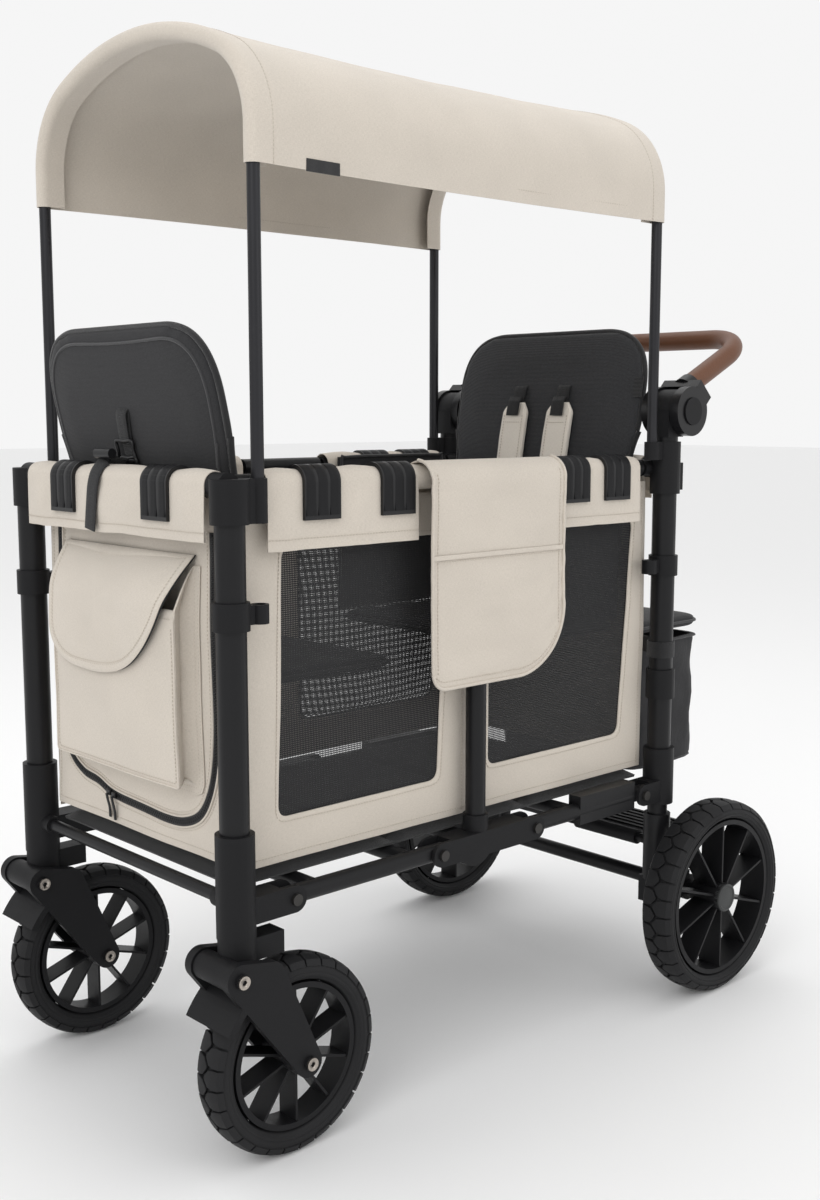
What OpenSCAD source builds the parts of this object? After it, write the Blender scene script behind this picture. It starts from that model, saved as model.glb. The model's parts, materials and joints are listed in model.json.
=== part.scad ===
// Folding two-seat pull wagon. Length along Y with the casters at -Y, +Z up.
// Every module is drawn about the middle of the four posts; place() then moves
// the whole wagon so that its footprint is centred on the origin.

/* [Frame] */
// Distance between the post centres across the wagon
post_gap_x = 450; // [420:5:520]
// Distance between the post centres along the wagon
post_gap_y = 784; // [740:4:880]
// Outer diameter of a corner post
post_d = 35; // [32:1:38]
// Wall of a corner post
post_wall = 2.4; // [1.6:0.2:2.6]
// Height of the top rails
top_rail_z = 795; // [740:5:860]
// Height of the bottom rails
low_rail_z = 312; // [308:1:340]
// Diameter of a top rail
top_rail_d = 24; // [22:1:26]
// Diameter of a bottom rail
low_rail_d = 23; // [20:1:24]
// Wall of the rails
rail_wall = 2; // [1.5:0.1:3]
// Diameter of the mid posts
mid_post_d = 27; // [22:1:28]

/* [Fold linkage] */
// Rear post centre to the rear fold pivots
rear_reach = 52; // [50:1:60]
// Front post centre to the front fold pivots
front_reach = 74; // [68:1:84]
// Distance between the two pivots of the middle frame
mid_span = 178; // [160:2:200]
// Pin diameter in the bottom rails
low_pin_d = 8; // [6:1:10]
// Pin diameter in the top rails
top_pin_d = 6; // [5:1:7]

/* [Wheels] */
// Diameter of a front tyre
front_wheel_d = 240; // [200:5:250]
// Width of a front tyre
front_tyre_w = 45; // [36:1:50]
// Distance that a front wheel trails its swivel
front_trail = 72; // [60:2:84]
// Diameter of a rear tyre
rear_wheel_d = 292; // [250:4:310]
// Width of a rear tyre
rear_tyre_w = 52; // [40:2:56]
// Distance from the rear posts back to the axle
rear_axle_back = 60; // [50:2:72]
// Distance from a rear post out to its wheel's middle
rear_wheel_out = 61; // [57:2:95]

/* [Handle] */
// Height of the handle's hinge
handle_z = 877; // [870:1:960]
// Length of the handle's arms
handle_arm = 177; // [140:1:220]
// Slope of the handle's arms
handle_slope = 25.7; // [10:0.1:40]
// Diameter of the leather grip
grip_d = 30; // [26:1:34]

/* [Canopy] */
// Height of the canopy's crown
canopy_top_z = 1325; // [1250:5:1400]
// Height of the canopy's lower edge
canopy_edge_z = 1142; // [1080:2:1190]
// Diameter of the canopy hoops
hoop_d = 15; // [12:1:16]
// Travel of the hoops in their clamps
canopy_drop = 130; // [80:5:130]

/* [Seats] */
// Height of the seat cushions' upper side
seat_z = 575; // [520:5:620]
// Thickness of the padded backs
back_t = 22; // [16:1:26]
// Top of the front seat's back
front_back_top = 978; // [900:2:1020]
// Top of the rear seat's back
rear_back_top = 1000; // [900:2:1040]

/* [Fabric] */
// Thickness of the canvas panels
canvas_t = 3.5; // [2:0.5:4]
// Thickness of the sleeves round the rails
sleeve_t = 3.7; // [2:0.1:4]
// Lower edge of the side panels
panel_low_z = 345; // [340:1:380]
// Depth of the front pocket
pocket_d = 28; // [20:1:44]

/* [Hidden] */
$fn = 48;

// Clearances: a running fit, a soft face beside another, and a cut's overshoot
fit = 0.05;
soft = 0.3;
cut = 1;

// Posts, rails and poles about the wagon's middle
px = post_gap_x / 2;
py = post_gap_y / 2;
rail_x = px - 19;
pole_x = px + 3;
pole_y = py - 37;
post_foot_z = 300;
rear_post_top = 840;
front_post_top = top_rail_z + 4;
socket_d = post_d + 11;
clamp_d = post_d + 9;
collar_d = post_d + 8;
pole_socket_d = hoop_d + 7;

// Collars on the posts: lock ring, guides for the lowered canopy, and clamps
lock_ring_z = [451, 495];
hoop_foot_z = top_rail_z - 20;
rear_hoop_foot_z = top_rail_z + 15;
guide_h = 30;
guide_z = hoop_foot_z - canopy_drop - 9;
rear_clamp_z = [top_rail_z - 38, top_rail_z + 38];
rear_pole_z = [top_rail_z + 12, top_rail_z + 38];
front_clamp_z = [top_rail_z - 42, top_rail_z + 8];
rear_socket_z = [290, 375];
front_socket_top = 403;

// Fold pivots along Y, all four links the same length
rear_pivot_y = py - rear_reach;
front_pivot_y = front_reach - py;
link_len = (post_gap_y - rear_reach - front_reach - mid_span) / 2;
mid_rear_y = rear_pivot_y - link_len;
mid_front_y = front_pivot_y + link_len;
mid_y = (mid_rear_y + mid_front_y) / 2;
mid_post_y = mid_y - 14;
mid_post_foot = low_rail_z + 22;

// Hinge shapes: cheeks beside the bottom rails, tongues inside the top rails
cheek_gap = low_rail_d + 1;
cheek_w = cheek_gap + 10;
cheek_r = 16;
rail_end = 11.5;
slot_back = 17.5;
tongue_t = 8;
tongue_r = top_rail_d / 2 - rail_wall - 1;
cross_d = 20;
cross_z = low_rail_z + 3;

// Fabric on the rails
sleeve_in = top_rail_d / 2 + soft;
sleeve_out = sleeve_in + sleeve_t;
clip_in = sleeve_out + soft;
clip_out = clip_in + 4.7;
clip_w = 54;
clip_drop = 43;
clip_lip = 6;
valance_drop = 77;
front_valance_drop = 60;
panel_x = rail_x - 5;
panel_y = py - sleeve_out;
floor_z = cross_z + cross_d / 2 + soft;
floor_t = 12;
pocket_x = [-143, 140];
pocket_z = [438, 704];

// Casters
swivel_top = 281;
swivel_d = 44;
swivel_stem_d = 16;
crossbar_d = 16;
crossbar_z = low_rail_z + 9;
fork_pin_y = -py - 24;
fork_pin_z = 247;
fork_pin_d = 10;
front_axle_y = front_trail - py;
front_axle_z = front_wheel_d / 2;
fork_gap = front_tyre_w + 15;
fork_arm_t = 12;
knuckle_w = fork_gap - 3;
knuckle_d = 34;

// Rear suspension leg and axle
leg_d = 40;
leg_top = 273;
leg_rod_d = post_d - 2 * post_wall - 0.2;
rear_axle_y = py + rear_axle_back;
rear_axle_z = rear_wheel_d / 2;
rear_wheel_x = px + rear_wheel_out;
rear_axle_d = 12;
brake_rod_d = 14;
brake_z = 226;

// Handle
handle_y = py + 18;
hub_r = 36;
drum_r = 32;
drum_w = post_d + 1;
cap_t = 14.7;
hub_pin_d = 12;
bar_d = 22;
arm_y = handle_y + 30;
arm_z = handle_z + 36;
handle_corner = 70;
button_d = 40;
button_out = 2.5;
latch_w = 16;
latch_h = 26;
latch_z = top_rail_z - 25;
latch_back = post_d / 2 + 4.9;

// Seats
rear_lean = 10.4;
front_lean = 12.4;
back_pivot_z = seat_z + back_t / 2 + soft;
rear_back_y = py - (sleeve_out + 0.5 + back_t / 2) / cos(rear_lean)
    - (top_rail_z - back_pivot_z) * tan(rear_lean);
front_back_y = -py + (31 + back_t / 2) / cos(front_lean)
    + (top_rail_z - back_pivot_z) * tan(front_lean);
wing_t = 3.8;
back_narrow = rail_x - clip_out - wing_t - 1.2;
wing_x = back_narrow + 0.5;
rear_back_w = px - drum_w / 2 - cap_t - 2.3;
front_back_w = rear_back_w - 3;
seat_inner_y = 105;
seat_t = 30;
strap_in = 30;
strap_out = 64;
strap_t = 6;
strap_top = 326;
belt_z = 44;

// Canopy profile: a crown and two corners, tangent to each other
cloth_t = 2.5;
crown_r = 420;
corner_r = 115;
canopy_half = pole_x + hoop_d / 2 + 0.6 + soft + cloth_t;
crown_z = canopy_top_z - crown_r;
corner_x = canopy_half - corner_r;
crown_gap = crown_r - corner_r;
corner_z = crown_z + sqrt(crown_gap * crown_gap - corner_x * corner_x);
tangent = acos(corner_x / crown_gap);
ferrule_w = 10;
hoop_in = cloth_t + soft + 0.6 + hoop_d / 2;

// Rear bag
bag_w = 300;
bag_y0 = py + 33;
bag_y1 = py + 214;
bag_z0 = 308;
bag_z1 = 520;
bag_z2 = 556;
bag_t = 4;
loop_z = [510, 540];
loop_t = 2.8;

// Moves the footprint's middle to the origin
front_end = front_axle_y - front_wheel_d / 2;
rear_end = arm_y + handle_arm * cos(handle_slope) + grip_d / 2;
y_shift = -(front_end + rear_end) / 2;

module place() { translate([0, y_shift, 0]) children(); }
module both() { children(); mirror([1, 0, 0]) children(); }
module along_x(d, x0, x1, y, z) {
    translate([x0, y, z]) rotate([0, 90, 0]) cylinder(d = d, h = x1 - x0);
}
module along_y(d, y0, y1, x, z) {
    translate([x, y0, z]) rotate([-90, 0, 0]) cylinder(d = d, h = y1 - y0);
}
module upright(d, z0, z1, x, y) { translate([x, y, z0]) cylinder(d = d, h = z1 - z0); }
module box(x0, x1, y0, y1, z0, z1) {
    translate([x0, y0, z0]) cube([x1 - x0, y1 - y0, z1 - z0]);
}
// Extrudes a drawing of (across, up) along X or along Y
module slab_x(x0, x1) { translate([x0, 0, 0]) rotate([90, 0, 90]) linear_extrude(x1 - x0) children(); }
module slab_y(y0, y1) { translate([0, y1, 0]) rotate([90, 0, 0]) linear_extrude(y1 - y0) children(); }

// ---- shared shapes --------------------------------------------------------

// A hollow post between two heights
module post(z0, z1, y) {
    difference() {
        upright(post_d, z0, z1, px, y);
        upright(post_d - 2 * post_wall, z0 - cut, z1 + cut, px, y);
    }
}

// Two cheeks beside a bottom rail's end, with their pin hole
module cheeks(pivot, root) {
    away = sign(root - pivot);
    difference() {
        union() {
            along_x(2 * cheek_r, px - cheek_w / 2, px + cheek_w / 2, pivot, low_rail_z);
            box(px - cheek_w / 2, px + cheek_w / 2, min(pivot, root), max(pivot, root),
                low_rail_z - cheek_r, low_rail_z + cheek_r);
        }
        box(px - cheek_gap / 2, px + cheek_gap / 2,
            min(pivot - away * (cheek_r + cut), pivot + away * slot_back),
            max(pivot - away * (cheek_r + cut), pivot + away * slot_back),
            low_rail_z - cheek_r - cut, low_rail_z + cheek_r + cut);
        along_x(low_pin_d + 2 * fit, px - cheek_w, px + cheek_w, pivot, low_rail_z);
    }
}

// A stub of top rail with the tongue that enters the hinged rail
module tongue_stub(pivot, root) {
    away = sign(root - pivot);
    face = pivot + away * slot_back;
    difference() {
        union() {
            along_y(top_rail_d, min(face, root), max(face, root), rail_x, top_rail_z);
            box(rail_x - tongue_t / 2, rail_x + tongue_t / 2, min(pivot, face + away),
                max(pivot, face + away), top_rail_z - tongue_r, top_rail_z + tongue_r);
            along_x(2 * tongue_r, rail_x - tongue_t / 2, rail_x + tongue_t / 2, pivot, top_rail_z);
        }
        along_x(top_pin_d + 2 * fit, rail_x - tongue_t, rail_x + tongue_t, pivot, top_rail_z);
    }
}

// A hinged top rail, slotted for a tongue at each end
module top_link(y0, y1) {
    slot = tongue_t + 0.6;
    difference() {
        along_y(top_rail_d, y0 - rail_end, y1 + rail_end, rail_x, top_rail_z);
        along_y(top_rail_d - 2 * rail_wall, y0 - rail_end - cut, y1 + rail_end + cut, rail_x, top_rail_z);
        box(rail_x - slot / 2, rail_x + slot / 2, y0 - rail_end - cut, y0 + tongue_r + 1,
            top_rail_z - top_rail_d, top_rail_z + top_rail_d);
        box(rail_x - slot / 2, rail_x + slot / 2, y1 - tongue_r - 1, y1 + rail_end + cut,
            top_rail_z - top_rail_d, top_rail_z + top_rail_d);
        for (y = [y0, y1])
            along_x(top_pin_d + 4 * fit, rail_x - top_rail_d, rail_x + top_rail_d, y, top_rail_z);
    }
}

// A pair of hinged bottom rails welded to their cross tubes
module low_links(y0, y1, crossings) {
    difference() {
        union() {
            both() along_y(low_rail_d, y0 - rail_end, y1 + rail_end, px, low_rail_z);
            for (y = crossings) along_x(cross_d, -px, px, y, cross_z);
            children();
        }
        both() {
            along_y(low_rail_d - 2 * rail_wall, y0 - rail_end - cut, y1 + rail_end + cut, px, low_rail_z);
            for (y = [y0, y1])
                along_x(low_pin_d + 2 * fit, px - low_rail_d, px + low_rail_d, y, low_rail_z);
        }
    }
}

// A bolt through two cheeks, with a head outside and a nut inside
module low_pin(y) {
    along_x(low_pin_d, px - cheek_w / 2 - cut, px + cheek_w / 2 + cut, y, low_rail_z);
    along_x(low_pin_d + 6, px + cheek_w / 2, px + cheek_w / 2 + 4, y, low_rail_z);
    along_x(low_pin_d + 5, px - cheek_w / 2 - 5, px - cheek_w / 2, y, low_rail_z);
}
module top_pin(y) {
    along_x(top_pin_d, rail_x - top_rail_d / 2 + 0.5, rail_x + top_rail_d / 2 - 0.5, y, top_rail_z);
}

// Ring round a post, with its hole
module ring(d, z0, z1, y) {
    difference() {
        upright(d, z0, z1, px, y);
        upright(post_d + 2 * fit, z0 - cut, z1 + cut, px, y);
    }
}

// Clamp collar with the guide that a lowered canopy pole enters
module guide_collar(z0, z1, y) {
    toward = -sign(y);
    difference() {
        union() {
            upright(collar_d, z0, z1, px, y);
            upright(pole_socket_d, z0 + 5, z1 - 5, pole_x, toward * -pole_y);
            box(px - 6, px + 8, min(y, toward * -pole_y), max(y, toward * -pole_y), z0 + 5, z1 - 5);
        }
        upright(post_d + 2 * fit, z0 - cut, z1 + cut, px, y);
        upright(hoop_d + 4 * fit, z0 - cut, z1 + cut, pole_x, toward * -pole_y);
    }
}

// Post top: ring, socket for the crosswise rail, stub for the side rail
module post_top(y, pivot, ring_z, pole_z) {
    out = sign(y);
    difference() {
        union() {
            upright(clamp_d, ring_z[0], ring_z[1], px, y);
            along_x(top_rail_d + 6, px - 35, px, y, top_rail_z);
            upright(pole_socket_d, pole_z[0], pole_z[1], pole_x, out * pole_y);
            box(px - 6, px + 10, min(y, out * pole_y), max(y, out * pole_y), pole_z[0], pole_z[1]);
            tongue_stub(pivot, y);
        }
        along_x(top_rail_d + 2 * fit, px - 35 - cut, px - clamp_d / 2, y, top_rail_z);
        upright(hoop_d + 2 * fit, ring_z[0] - cut, pole_z[1] + cut, pole_x, out * pole_y);
        children();
    }
}

// C-shaped seat clip round a sleeved rail, drawn across the rail
module clip_shape() {
    difference() {
        circle(r = clip_out);
        circle(r = clip_in);
        translate([-clip_out - cut, -clip_out - cut]) square([2 * clip_out + 2 * cut, clip_out + cut]);
    }
    translate([clip_in, -clip_drop]) square([clip_out - clip_in, clip_drop + 1]);
    translate([-clip_out, -clip_lip]) square([clip_out - clip_in, clip_lip + 1]);
}

// Sleeve round a rail with the valance that hangs outside it
module sleeve_shape(drop) {
    difference() {
        union() {
            circle(r = sleeve_out);
            if (drop > 0) translate([sleeve_out - 3, -drop]) square([3, drop]);
        }
        circle(r = sleeve_in);
    }
}

// Points on an arc, from one angle to another
function arc(cx, cy, r, a0, a1, n) = [
    for (i = [0:n]) [cx + r * cos(a0 + (a1 - a0) * i / n), cy + r * sin(a0 + (a1 - a0) * i / n)]
];

// Half of the canopy's arch at a depth under the cloth, from the edge to the crown
function half_arch(depth, low) = concat(
    [[canopy_half - depth, low]],
    arc(corner_x, corner_z, corner_r - depth, 0, tangent, 8),
    arc(0, crown_z, crown_r - depth, tangent, 90, 6)
);
function flip(points) = [for (i = [len(points) - 1:-1:0]) [-points[i][0], points[i][1]]];
function arch(depth, low) = concat(half_arch(depth, low), flip(half_arch(depth, low)));

// A hoop: two straight legs, two corners and the crown, with crimped ferrules at the joints
module ferrule(x, z, lean) {
    translate([x, 0, z]) rotate([0, -lean, 0])
        cylinder(d = hoop_d + 1, h = ferrule_w, center = true);
}
module hoop(y, foot) {
    corner = corner_r - hoop_in;
    crown = crown_r - hoop_in;
    translate([0, y, 0]) union() {
        both() {
            upright(hoop_d, foot, corner_z, pole_x, 0);
            ferrule(pole_x, corner_z, 0);
            translate([corner_x, 0, corner_z]) rotate([90, 0, 0])
                rotate_extrude(angle = tangent) translate([corner, 0]) circle(d = hoop_d);
            ferrule(crown * cos(tangent), crown_z + crown * sin(tangent), tangent);
        }
        translate([0, 0, crown_z]) rotate([90, 0, 0]) rotate([0, 0, tangent])
            rotate_extrude(angle = 180 - 2 * tangent) translate([crown, 0]) circle(d = hoop_d);
    }
}

// ---- rear frame -----------------------------------------------------------

module rear_posts() {
    color("#1d1d1f") both() post(post_foot_z, rear_post_top, py);
}

module rear_clamps() {
    color("#232325") both() {
        ring(collar_d, lock_ring_z[0], lock_ring_z[1], py);
        guide_collar(guide_z, guide_z + guide_h, py);
        difference() {
            union() {
                post_top(py, rear_pivot_y, rear_clamp_z, rear_pole_z)
                    upright(post_d + 2 * fit, rear_clamp_z[0] - cut, rear_clamp_z[1] + cut, px, py);
                difference() {
                    box(px - latch_w / 2 - 5, px + latch_w / 2 + 5, py, py + 26,
                        latch_z - 8, latch_z + latch_h + 6);
                    upright(post_d + 2 * fit, rear_clamp_z[0] - cut, rear_clamp_z[1] + cut, px, py);
                }
            }
            box(px - latch_w / 2 - 0.2, px + latch_w / 2 + 0.2, py + latch_back - 3.6, py + 27,
                latch_z - 0.2, latch_z + latch_h + 0.2);
        }
    }
}

module rear_sockets() {
    color("#1b1b1c") both() difference() {
        union() {
            upright(socket_d, rear_socket_z[0], rear_socket_z[1], px, py);
            cheeks(rear_pivot_y, py);
        }
        upright(post_d + 2 * fit, post_foot_z, rear_socket_z[1] + cut, px, py);
        upright(leg_rod_d + 2 * fit, rear_socket_z[0] - cut, post_foot_z + cut, px, py);
    }
}

module rear_top_rail() {
    color("#202022") difference() {
        along_x(top_rail_d, -px + clamp_d / 2, px - clamp_d / 2, py, top_rail_z);
        along_x(top_rail_d - 2 * rail_wall, -px, px, py, top_rail_z);
    }
}

// Fixed halves of the handle's hinge, each with a spigot inside its post
module handle_bases() {
    color("#1f1f21") both() difference() {
        union() {
            upright(post_d - 2 * post_wall - 0.2, rear_post_top - 40, rear_post_top + cut, px, py);
            box(px - post_d / 2, px + post_d / 2, py - post_d / 2, handle_y, rear_post_top, handle_z);
            along_x(2 * drum_r, px - drum_w / 2, px + drum_w / 2, handle_y, handle_z);
        }
        along_x(hub_pin_d + 2 * fit, px - drum_w, px + drum_w, handle_y, handle_z);
    }
}

module rear_pivot_bolts() {
    color("#8a8178") both() {
        low_pin(rear_pivot_y);
        top_pin(rear_pivot_y);
    }
}

// Rear canvas: panel and the sleeve round its rail
module rear_panel() {
    w = px - 39;
    color("#e2d9cc") union() {
        slab_x(-w, w) translate([py, top_rail_z]) sleeve_shape(front_valance_drop);
        box(-panel_x + canvas_t + 0.5, panel_x - canvas_t - 0.5, panel_y, panel_y + canvas_t,
            panel_low_z, top_rail_z - 20);
        box(-w, w, panel_y, panel_y + sleeve_t, top_rail_z - 21, top_rail_z);
    }
}

// Side canvas with sleeves and valances, and the padded floor
module basket() {
    end = panel_y - soft;
    spans = [[-py + 54, mid_front_y + 12, -py + 54, mid_front_y - 26],
             [mid_rear_y - 12, py - 54, mid_rear_y + 57, py - 54]];
    color("#e4dbce") {
        both() union() {
            box(panel_x - canvas_t, panel_x, -end, end, panel_low_z, top_rail_z - sleeve_out - 8);
            for (s = spans) {
                slab_y(s[0], s[1]) translate([rail_x, top_rail_z]) sleeve_shape(0);
                box(panel_x - canvas_t, panel_x, s[0], s[1], top_rail_z - sleeve_out - 9,
                    top_rail_z - sleeve_in - 1);
                slab_y(s[2], s[3]) translate([rail_x, top_rail_z]) sleeve_shape(valance_drop);
            }
        }
        box(-panel_x + canvas_t + soft, panel_x - canvas_t - soft, -end, end, floor_z, floor_z + floor_t);
    }
}

// Seat sling: cushion and its two side wings
module seat(y0, y1) {
    union() {
        box(-wing_x - 1, wing_x + 1, y0, y1, seat_z - seat_t, seat_z);
        both() box(wing_x, wing_x + wing_t, y0, y1, seat_z - seat_t, top_rail_z + 16);
    }
}
module rear_seat() { color("#303033") seat(seat_inner_y, rear_back_y + 14); }

// Bag behind the rear posts, open at the top, with a loop round each post
module rear_bag() {
    outer = [[bag_y0, bag_z0], [bag_y1, bag_z0], [bag_y1, bag_z1], [bag_y0, bag_z2]];
    loop_y = py + post_d / 2 + 0.2;
    color("#1c1c1d") union() {
        difference() {
            slab_x(-bag_w / 2, bag_w / 2) polygon(outer);
            slab_x(-bag_w / 2 + bag_t, bag_w / 2 - bag_t)
                polygon([[bag_y0 + bag_t, bag_z0 + bag_t], [bag_y1 - bag_t, bag_z0 + bag_t],
                         [bag_y1 - bag_t, bag_z2 + 40], [bag_y0 + bag_t, bag_z2 + 40]]);
        }
        both() difference() {
            union() {
                upright(post_d + 2 * loop_t + 0.4, loop_z[0], loop_z[1], px, py);
                box(bag_w / 2 - 20, px, loop_y, loop_y + loop_t, loop_z[0], loop_z[1]);
                box(bag_w / 2 - 20, bag_w / 2 - 2, loop_y, bag_y0 + 1, loop_z[0], loop_z[1]);
            }
            upright(post_d + 0.4, loop_z[0] - cut, loop_z[1] + cut, px, py);
        }
    }
}

module bag_lid() {
    slope = atan((bag_z2 - bag_z1) / (bag_y1 - bag_y0));
    color("#202022") translate([0, bag_y0, bag_z2 + 0.4]) rotate([-slope, 0, 0])
        box(-bag_w / 2 - 3, bag_w / 2 + 3, 0, (bag_y1 - bag_y0) / cos(slope) + 2, 0, 6);
}

// Outline of a padded back: narrow between the rails, wide above them
module back_outline(wide, narrow, height, r) {
    neck = (top_rail_z + 30 - back_pivot_z);
    right = concat([[narrow, 0], [narrow, neck], [wide, neck + 20]],
                   arc(wide - r, height - r, r, 0, 90, 8));
    polygon(concat(right, flip(right)));
}
module seat_back(wide, height, r) {
    union() {
        rotate([90, 0, 0]) translate([0, 0, -back_t / 2]) linear_extrude(back_t)
            back_outline(wide, back_narrow, height, r);
        along_x(back_t, -back_narrow, back_narrow, 0, 0);
    }
}
module rear_seat_back() {
    color("#343338") translate([0, rear_back_y, back_pivot_z]) rotate([-rear_lean, 0, 0])
        seat_back(rear_back_w, (rear_back_top - back_pivot_z) / cos(rear_lean), 62);
}

// Two padded shoulder straps and the buckle that joins them
module harness() {
    both() box(strap_in, strap_out, 0, strap_t, belt_z + 15.2, strap_top);
    box(-strap_out, strap_out, 0, strap_t, belt_z, belt_z + 15);
    box(-22, 22, 0, strap_t + 8, 10, belt_z - 0.5);
}
module rear_harness() {
    color("#ded5c8") translate([0, rear_back_y, back_pivot_z]) rotate([-rear_lean, 0, 0])
        translate([0, -back_t / 2 - soft, 0]) mirror([0, 1, 0]) harness();
}

// Both sprung legs, joined by the axle tube and the brake rod
module rear_legs() {
    rod_top = 350;
    color("#202022") union() {
        both() {
            upright(leg_d, 170, leg_top, px, py);
            upright(leg_rod_d, leg_top - cut, rod_top, px, py);
            along_x(leg_d, px - leg_d / 2, px + leg_d / 2, rear_axle_y, rear_axle_z);
            box(px - leg_d / 2, px + leg_d / 2, py - leg_d / 2 + 4, rear_axle_y, 134, 174);
            along_x(24, px, rear_wheel_x - rear_tyre_w / 2, rear_axle_y, rear_axle_z);
            along_x(rear_axle_d, px, rear_wheel_x + rear_tyre_w / 2 - 6, rear_axle_y, rear_axle_z);
        }
        along_x(22, -px, px, py + 33, 155);
        along_x(brake_rod_d, -px, px, py, brake_z);
    }
}

// Ribbed foot pedal on the brake rod
module brake_pedal() {
    color("#2a2a2b") difference() {
        union() {
            along_x(brake_rod_d + 8, 70, 190, py, brake_z);
            box(74, 186, py, py + 118, brake_z - 6, brake_z + 2);
            for (i = [0:5]) box(78, 182, py + 36 + i * 14, py + 42 + i * 14, brake_z + 1, brake_z + 4);
        }
        along_x(brake_rod_d + 2 * fit, 60, 200, py, brake_z);
    }
}

// ---- wheels ---------------------------------------------------------------

// Rim turned about its own axis, which is Z here: ring, hub and spokes
module rim(bead_r, w, hub_d, hub_w, bore, blind) {
    difference() {
        union() {
            difference() {
                cylinder(r = bead_r, h = w, center = true);
                cylinder(r = bead_r - 7, h = w + cut, center = true);
            }
            cylinder(d = hub_d, h = hub_w, center = true);
            for (i = [0:9]) rotate([0, 0, i * 36])
                translate([hub_d / 2 - 2, -1.6, -w * 0.45]) cube([bead_r - hub_d / 2 - 2, 3.2, w * 0.9]);
        }
        translate([0, 0, -hub_w]) cylinder(d = bore, h = blind ? hub_w * 1.5 - 4 : 2 * hub_w);
    }
}
module tyre(r, bead_r, w) {
    rotate_extrude() polygon([
        [bead_r, -w / 2 + 5], [bead_r + 6, -w / 2], [r - 9, -w / 2], [r - 2, -w / 2 + 6],
        [r, -w / 2 + 15], [r, w / 2 - 15], [r - 2, w / 2 - 6], [r - 9, w / 2],
        [bead_r + 6, w / 2], [bead_r, w / 2 - 5]
    ]);
}
front_bead = front_wheel_d / 2 - 31;
rear_bead = rear_wheel_d / 2 - 28;
module at_rear_wheel() { translate([rear_wheel_x, rear_axle_y, rear_axle_z]) rotate([0, 90, 0]) children(); }
module at_front_wheel() { translate([px, front_axle_y, front_axle_z]) rotate([0, 90, 0]) children(); }
module rear_rim() {
    color("#1a1a1b") at_rear_wheel()
        rim(rear_bead, rear_tyre_w - 10, 42, rear_tyre_w - 2, rear_axle_d + 2 * fit, true);
}
module rear_tyre() { color("#2b2b2b") at_rear_wheel() tyre(rear_wheel_d / 2, rear_bead, rear_tyre_w); }
module front_rim() {
    color("#1a1a1b") at_front_wheel()
        rim(front_bead, front_tyre_w - 10, 36, fork_gap - 2, fork_pin_d + 2 * fit, false);
}
module front_tyre() { color("#2b2b2b") at_front_wheel() tyre(front_wheel_d / 2, front_bead, front_tyre_w); }

// ---- handle ---------------------------------------------------------------

module at_arms() { translate([0, arm_y, arm_z]) rotate([handle_slope, 0, 0]) children(); }

// U-shaped bar in the plane of the arms, from a start along them to the crossbar
module u_bar(d, start) {
    both() {
        along_y(d, start, handle_arm - handle_corner, px, 0);
        translate([px - handle_corner, handle_arm - handle_corner, 0])
            rotate_extrude(angle = 90) translate([handle_corner, 0]) circle(d = d);
    }
    along_x(d, handle_corner - px, px - handle_corner, handle_arm, 0);
}
module handle_bar() { color("#1f1f20") at_arms() u_bar(bar_d, -1.5); }
module handle_grip() {
    color("#6b3d27") at_arms() difference() {
        u_bar(grip_d, 8.5);
        u_bar(bar_d + 0.1, 7);
    }
}

// Turning halves of the handle's hinge: two caps, their pin and the arm's collar
module handle_hubs() {
    half = drum_w / 2 + soft;
    color("#19191a") both() difference() {
        union() {
            difference() {
                union() {
                    along_x(2 * hub_r, px - half - cap_t, px + half + cap_t, handle_y, handle_z);
                    translate([0, handle_y, handle_z]) rotate([46, 0, 0])
                        box(px - half - cap_t, px + half + cap_t, drum_r, 46, -18, 18);
                    at_arms() along_y(bar_d + 12, -9, 8, px, 0);
                }
                along_x(2 * drum_r + 1, px - half - 0.2, px + half + 0.2, handle_y, handle_z);
                rotate_gap(half);
            }
            along_x(hub_pin_d, px - half - cut, px + half + cut, handle_y, handle_z);
        }
        along_x(button_d + 0.5, px + half + cap_t - 8, px + half + 2 * cap_t, handle_y, handle_z);
        at_arms() along_y(bar_d + 2 * fit, -2, 9, px, 0);
    }
}
// Room for the fixed half outside its drum, left open below the arm
module rotate_gap(half) {
    translate([0, handle_y, handle_z]) rotate([46, 0, 0])
        box(px - half, px + half, -60, drum_r * cos(34), -60, 60);
}
module handle_button() {
    out = px + drum_w / 2 + soft + cap_t;
    color("#121213") along_x(button_d, out - 5, out + button_out, handle_y, handle_z);
}

module latch_button() {
    color("#77777a")
        box(px - latch_w / 2, px + latch_w / 2, py + latch_back, py + latch_back + 6.6, latch_z, latch_z + latch_h);
}

// ---- links and middle frame -----------------------------------------------

module rear_bottom_links() {
    color("#1c1c1e") low_links(mid_rear_y, rear_pivot_y, [mid_rear_y + 86, rear_pivot_y - 48])
        both() box(px - 11, px + 11, rear_pivot_y - 141, rear_pivot_y - 18,
                   low_rail_z - 18, low_rail_z + 23);
}
module front_bottom_links() {
    color("#1c1c1e") low_links(front_pivot_y, mid_front_y, [front_pivot_y + 38, mid_front_y - 49]);
}
module rear_top_links() { color("#202022") both() top_link(mid_rear_y, rear_pivot_y); }
module front_top_links() { color("#202022") both() top_link(front_pivot_y, mid_front_y); }

module side_clip(y) {
    slab_y(y - clip_w / 2, y + clip_w / 2) translate([rail_x, top_rail_z]) clip_shape();
}
module rear_rail_clips() {
    color("#151516") both() for (y = [rear_pivot_y - 58, mid_rear_y + 93]) side_clip(y);
}
module front_rail_clips() {
    color("#151516") both() for (y = [front_pivot_y + 58, mid_front_y - 62]) side_clip(y);
}

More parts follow.
